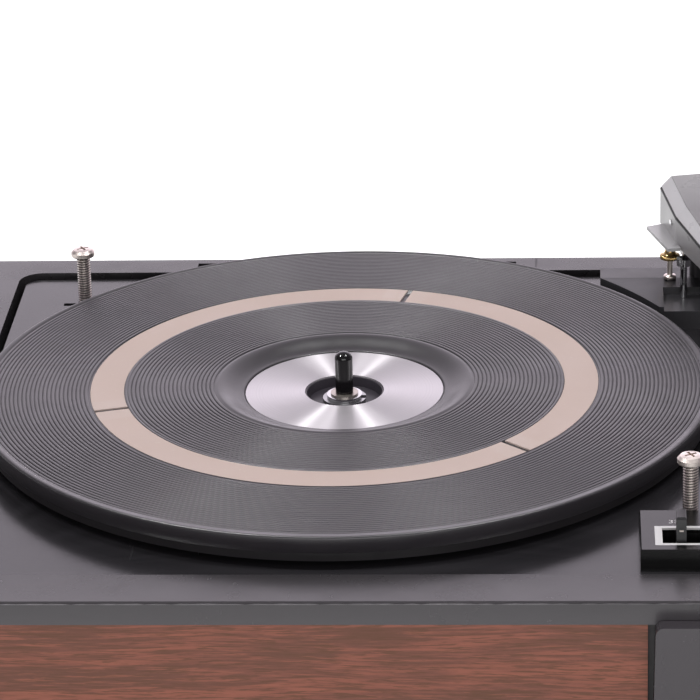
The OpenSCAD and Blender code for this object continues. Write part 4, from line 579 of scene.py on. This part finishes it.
# Knurls round the nut's rim, their depth, and the radius beyond which the nut has them
KNURLS, KNURL_DEPTH, KNURL_R = 36, 0.12, 3.4
STUD_PITCH, STUD_CREST, STUD_ROOT, FOOT_TOP = 0.5, 1.22, 1.05, 13.6
# The nut's outline: radius and depth below its top
NUT_SHAPE = ((0, 0), (1.3, 0), (1.5, 0.15), (1.55, 0.6), (1.8, 0.8), (1.95, 2.2), (2.6, 4.0), (3.3, 4.3),
             (3.9, 4.5), (4.1, 4.7), (4.1, 5.9), (3.9, 6.1), (2.2, 6.3), (1.25, NUT_HIGH), (0, NUT_HIGH))


def knurl(r, z, angle):
    """Straight knurling on the nut's rim."""
    return r + KNURL_DEPTH * math.cos(KNURLS * angle) if r > KNURL_R else r


def height_nut():
    nut = [(r, NUT_TOP - depth) for r, depth in NUT_SHAPE]
    piece = lathe("height_nut", nut, HEIGHT_AT, "brass", "root", 168, flute=knurl)
    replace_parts(piece, "height_screw")
    low = NUT_TOP - NUT_HIGH
    stud = [(0, low - 0.05)]
    for i in range(int((low - FOOT_TOP) / STUD_PITCH)):
        z = low - STUD_PITCH * i
        stud += [(STUD_CREST, z), (STUD_ROOT, z - STUD_PITCH / 2)]
    foot = [(1.2, FOOT_TOP), (2.5, 13.5), (2.6, 13.3), (2.6, 12.15), (1.2, 12.1), (1.2, 2.2), (0, 2.0)]
    lathe("height_stud", stud + foot, HEIGHT_AT, "zinc_steel", "root", 48)


# Painted highlights: bright bands along the arm's bevels, a lighter copy of the arm's silver standing in
# for the light the bevels catch, each with a dark line on its outer side; sizes in millimetres

# The arm's pivot and its angle at rest
ARM_AT, ARM_ANGLE = (148.0, 118.0), math.radians(12)
# Stations along the arm: distance from the pivot, half width, top and bevel
ARM_STATIONS = ((-24, 15, 46, 5), (-21, 16, 49, 5), (6, 16, 45, 5), (62, 7.5, 35, 2.5), (179, 5.5, 31, 2))
# The band's start and end as shares of the bevel, how proud it stands and how deep it reaches into the arm
BAND_START, BAND_END, BAND_PROUD, BAND_DEEP = 0.14, 0.94, 0.14, -0.4
# The dark line's height below the bevel, its share of the bevel, how proud it stands and its depth
LINE_HIGH, LINE_SHARE, LINE_PROUD, LINE_DEEP = 0.5, 0.1, 0.08, 0.3


def arm_point(x, y, z):
    c, s = math.cos(ARM_ANGLE), math.sin(ARM_ANGLE)
    return at(ARM_AT[0] + x * s + y * c, ARM_AT[1] - x * c + y * s, z)


def arm_strip(name, section, side, look):
    """A closed strip along one bevel; section(half width, top, bevel) gives its corners as (y, z)."""
    verts, faces = [], []
    for x, hw, top, bevel in ARM_STATIONS:
        corners = section(hw, top, bevel)
        verts += [arm_point(x, side * y, z) for y, z in corners]
    n, rows = len(corners), len(ARM_STATIONS)
    for i in range(rows - 1):
        for k in range(n):
            quad = (i * n + k, i * n + (k + 1) % n, (i + 1) * n + (k + 1) % n, (i + 1) * n + k)
            faces.append(quad if side > 0 else quad[::-1])
    caps = [tuple(range(n))[::-1], tuple(range((rows - 1) * n, rows * n))]
    faces += caps if side > 0 else [f[::-1] for f in caps]
    return mesh_piece(name, verts, faces, look, "arm", smooth=False)


def band_section(hw, top, bevel):
    """Corners of the painted highlight band on a bevel, slightly proud of it."""
    def on(share, out):
        return hw - share * bevel + out, top - bevel + share * bevel + out
    return (on(BAND_START, BAND_PROUD), on(BAND_END, BAND_PROUD),
            on(BAND_END, BAND_DEEP), on(BAND_START, BAND_DEEP))


def line_section(hw, top, bevel):
    """Corners of the dark line where the bevel meets the side."""
    foot, rise = top - bevel, LINE_SHARE * bevel
    side, back = hw + LINE_PROUD, hw - LINE_DEEP
    return ((side, foot - LINE_HIGH), (side, foot), (side - rise, foot + rise + LINE_PROUD),
            (back, foot), (back, foot - LINE_HIGH))


def arm_bands():
    for word, side in (("left", -1), ("right", 1)):
        arm_strip("arm_highlight_band_" + word, band_section, side, "band_silver")
        arm_strip("arm_line_" + word, line_section, side, "shell_plastic")


# Rounded edges: their widths in millimetres, and the smallest angle in degrees that is rounded
EDGES = {"control_block": 0.35, "arm_base": 0.3, "speed_lever": 0.25, "start_lever": 0.25,
         "cartridge": 0.2, "mains_switch": 0.3, "motor_coil": 0.8}
SHARP_ANGLE, ROUND_SEGMENTS = 40, 3


def soften(thing, width):
    """Rounds the sharp edges of a node or piece."""
    bevel = thing.modifiers.new("rounded", "BEVEL")
    bevel.width = width * MM
    bevel.segments = ROUND_SEGMENTS
    bevel.limit_method = "ANGLE"
    bevel.angle_limit = math.radians(SHARP_ANGLE)
    bevel.harden_normals = True


def round_edges():
    for name, width in EDGES.items():
        soften(nodes[name], width)


# The wood panel's end and the corner panel's left side, set to the photograph

# How far each side is moved, how wide a strip of it moves, and the roundings, in millimetres
WOOD_SHIFT, WOOD_END, WOOD_ROUND = 2.0, 1.0, 0.2
CORNER_SHIFT, CORNER_SIDE, CORNER_ROUND = 2.6, 12.0, 0.5


def front_pieces():
    wood_high = max(v.co.x for v in nodes["wood_front_panel"].data.vertices) / MM - DECK[0]
    corner_low = min(v.co.x for v in nodes["front_corner_panel"].data.vertices) / MM - DECK[0]

    def wood(p):
        return (p.x + (WOOD_SHIFT if p.x > wood_high - WOOD_END else 0), p.y, p.z)

    def corner(p):
        return (p.x + (CORNER_SHIFT if p.x < corner_low + CORNER_SIDE else 0), p.y, p.z)

    for name, source, look, move, width in (
            ("wood_front", "wood_front_panel", "wood_veneer", wood, WOOD_ROUND),
            ("corner_front", "front_corner_panel", "corner_plastic", corner, CORNER_ROUND)):
        piece = reshaped(name, source, look, "root", move=move)
        soften(piece, width)
        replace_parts(piece, source)


# The worn line along the moulding's front top edge, partly its worn white spots and partly a painted
# highlight of the light the edge catches, in metres: its depth in the edge, its radius, and the uneven
# parts of the radius with their rates
WORN_LIT_DEEP, WORN_LIT_R = 0.12 * MM, 0.2 * MM
WORN_LIT_UNEVEN = ((0.05 * MM, 2.3), (0.04 * MM, 0.7))
WORN_LIT_STEPS, WORN_LIT_SIDES, SAME_PLACE = 120, 8, 0.05 * MM


def worn_edge():
    points = [v.co for v in nodes["top_moulding"].data.vertices]
    front = min(p.y for p in points)
    line = [p for p in points if p.y < front + SAME_PLACE]
    top = max(p.z for p in line)
    ends = [p.x for p in line if p.z > top - SAME_PLACE]
    left, right = min(ends), max(ends)
    verts, faces = [], []
    n = WORN_LIT_SIDES
    for i in range(WORN_LIT_STEPS + 1):
        x = left + (right - left) * i / WORN_LIT_STEPS
        r = WORN_LIT_R + sum(size * math.sin(rate * i) for size, rate in WORN_LIT_UNEVEN)
        for k in range(n):
            angle = TAU * k / n
            verts.append((x, front + WORN_LIT_DEEP + r * math.cos(angle), top - WORN_LIT_DEEP + r * math.sin(angle)))
    for i in range(WORN_LIT_STEPS):
        for k in range(n):
            faces.append((i * n + k, (i + 1) * n + k, (i + 1) * n + (k + 1) % n, i * n + (k + 1) % n))
    faces += [tuple(range(n)), tuple(range(WORN_LIT_STEPS * n, WORN_LIT_STEPS * n + n))[::-1]]
    mesh_piece("worn_edge", verts, faces, "worn_edge", "root")


ribbed_mat()
for screw in SCREWS:
    transit_screw(screw)
speed_numbers()
height_nut()
worn_edge()
arm_bands()
front_pieces()
round_edges()


# Light and surroundings

# Lamps: name, place, the point each is aimed at, size and power in watts
LAMPS = (("key", (-0.58, 0.02, 1.6), (-0.03, 0.02, 0.1), (0.09, 0.6), 6.3),
         ("fill", (0.52, 0.02, 1.6), (-0.03, 0.02, 0.1), (0.09, 0.6), 6.3),
         ("front", (0.1, -1.7, 0.45), (0, 0, 0.06), (1.6, 0.7), 9.0))
# The even light of the room
ROOM, ROOM_TINT, WHITE = 0.24, (1.0, 0.96, 1.0, 1), (1, 1, 1, 1)
# Lamps only shiny faces show: place and power; they draw the fans of light on the label disc
SPARKLES = (((-0.732, 0.01, 1.545), 9.0), ((0.395, 0.01, 1.65), 8.0), ((-0.345, 0.01, 1.676), 3.0))
SPARKLE_SIZE = (0.05, 0.05)
# The floor's own glow where it is looked at: in the object's shadow and beyond it, and how far out in
# metres it changes from one to the other
SHADOW_GLOW, SHADOW_REACH = (0.62, 1.0), (0.26, 0.42)
FLOOR_HALF = 6.0
# What shiny faces mirror: a faint pink as in the photograph, bright behind the object and dim in front
# of it. The brightness grows while the ray's part towards the back goes from the first to the second of
# the next line's values, and the power keeps most of the growth near the end
MIRROR_TINT, MIRROR_DIM, MIRROR_BRIGHT = (1.0, 0.91, 1.02, 1), 0.15, 1.9
MIRROR_FROM, MIRROR_TO, MIRROR_POWER = -0.5, 1.0, 6.0


def area_light(name, place, aim, size, power):
    data = bpy.data.lights.new(name, "AREA")
    data.shape = "RECTANGLE"
    data.size, data.size_y = size
    data.energy = power
    lamp = bpy.data.objects.new(name, data)
    bpy.context.scene.collection.objects.link(lamp)
    lamp.location = place
    lamp.rotation_euler = (Vector(aim) - Vector(place)).to_track_quat("-Z", "Y").to_euler()
    return lamp


def seen_directly(tree):
    """The light path node, and a value that is 1 for rays from the camera and for mirrored or refracted
    ones, and 0 for diffuse light."""
    path = tree.nodes.new("ShaderNodeLightPath")
    seen = path.outputs["Is Camera Ray"]
    for other in ("Is Glossy Ray", "Is Transmission Ray"):
        both = tree.nodes.new("ShaderNodeMath")
        both.operation = "MAXIMUM"
        tree.links.new(seen, both.inputs[0])
        tree.links.new(path.outputs[other], both.inputs[1])
        seen = both.outputs[0]
    return path, seen


def pale_floor():
    """A wide pale sheet under the plinth, white to the camera and to reflections but for the shadow."""
    mesh = bpy.data.meshes.new("floor")
    s = FLOOR_HALF
    mesh.from_pydata([(-s, -s, 0), (s, -s, 0), (s, s, 0), (-s, s, 0)], [], [(0, 1, 2, 3)])
    floor = bpy.data.objects.new("floor", mesh)
    bpy.context.scene.collection.objects.link(floor)
    n = Nodes("floor")
    n.finish(color=n.ramp(n.noise(3, 3), (0.3, 0.82), (0.7, 0.84)), rough=n.spread(n.noise(8), 0.6, 0.75))
    seen = seen_directly(n.tree)[1]
    glow = n.spread(n.radius((0, 0, 0)), *SHADOW_GLOW, *SHADOW_REACH)
    white = n.add("ShaderNodeEmission")
    n.join(n.math("MULTIPLY", seen, glow), white.inputs["Strength"])
    both = n.add("ShaderNodeAddShader")
    n.join(n.shader.outputs[0], both.inputs[0])
    n.join(white.outputs[0], both.inputs[1])
    n.join(both.outputs[0], n.tree.nodes["Material Output"].inputs["Surface"])
    mesh.materials.append(n.material)


def surroundings():
    """A pale room: plain white to the camera, brighter behind than in front to shiny faces."""
    world = bpy.data.worlds.new("studio")
    bpy.context.scene.world = world
    world.use_nodes = True
    tree = world.node_tree
    tree.nodes.clear()
    out = tree.nodes.new("ShaderNodeOutputWorld")
    path, seen = seen_directly(tree)
    room = tree.nodes.new("ShaderNodeBackground")
    room.inputs["Color"].default_value = ROOM_TINT
    room.inputs["Strength"].default_value = ROOM
    white = tree.nodes.new("ShaderNodeBackground")
    white.inputs["Color"].default_value = WHITE
    coords = tree.nodes.new("ShaderNodeTexCoord")
    toward = tree.nodes.new("ShaderNodeVectorMath")
    toward.operation = "DOT_PRODUCT"
    tree.links.new(coords.outputs["Generated"], toward.inputs[0])
    toward.inputs[1].default_value = (0, 1, 0)
    fall = tree.nodes.new("ShaderNodeMapRange")
    tree.links.new(toward.outputs["Value"], fall.inputs["Value"])
    for key, value in (("From Min", MIRROR_FROM), ("From Max", MIRROR_TO), ("To Min", 0.0), ("To Max", 1.0)):
        fall.inputs[key].default_value = value
    steep = tree.nodes.new("ShaderNodeMath")
    steep.operation = "POWER"
    tree.links.new(fall.outputs["Result"], steep.inputs[0])
    steep.inputs[1].default_value = MIRROR_POWER
    level = tree.nodes.new("ShaderNodeMath")
    level.operation = "MULTIPLY_ADD"
    tree.links.new(steep.outputs[0], level.inputs[0])
    level.inputs[1].default_value = MIRROR_BRIGHT
    level.inputs[2].default_value = MIRROR_DIM
    mirrored = tree.nodes.new("ShaderNodeBackground")
    mirrored.inputs["Color"].default_value = MIRROR_TINT
    tree.links.new(level.outputs[0], mirrored.inputs["Strength"])
    behind = tree.nodes.new("ShaderNodeMixShader")
    tree.links.new(path.outputs["Is Camera Ray"], behind.inputs[0])
    tree.links.new(mirrored.outputs[0], behind.inputs[1])
    tree.links.new(white.outputs[0], behind.inputs[2])
    mix = tree.nodes.new("ShaderNodeMixShader")
    tree.links.new(seen, mix.inputs[0])
    tree.links.new(room.outputs[0], mix.inputs[1])
    tree.links.new(behind.outputs[0], mix.inputs[2])
    tree.links.new(mix.outputs[0], out.inputs["Surface"])


pale_floor()
surroundings()
for lamp in LAMPS:
    area_light(*lamp)
for number, (place, power) in enumerate(SPARKLES):
    sparkle = area_light(f"sparkle_{number}", place, SPINDLE, SPARKLE_SIZE, power)
    sparkle.visible_diffuse = False

bpy.context.scene.view_settings.view_transform = "Standard"
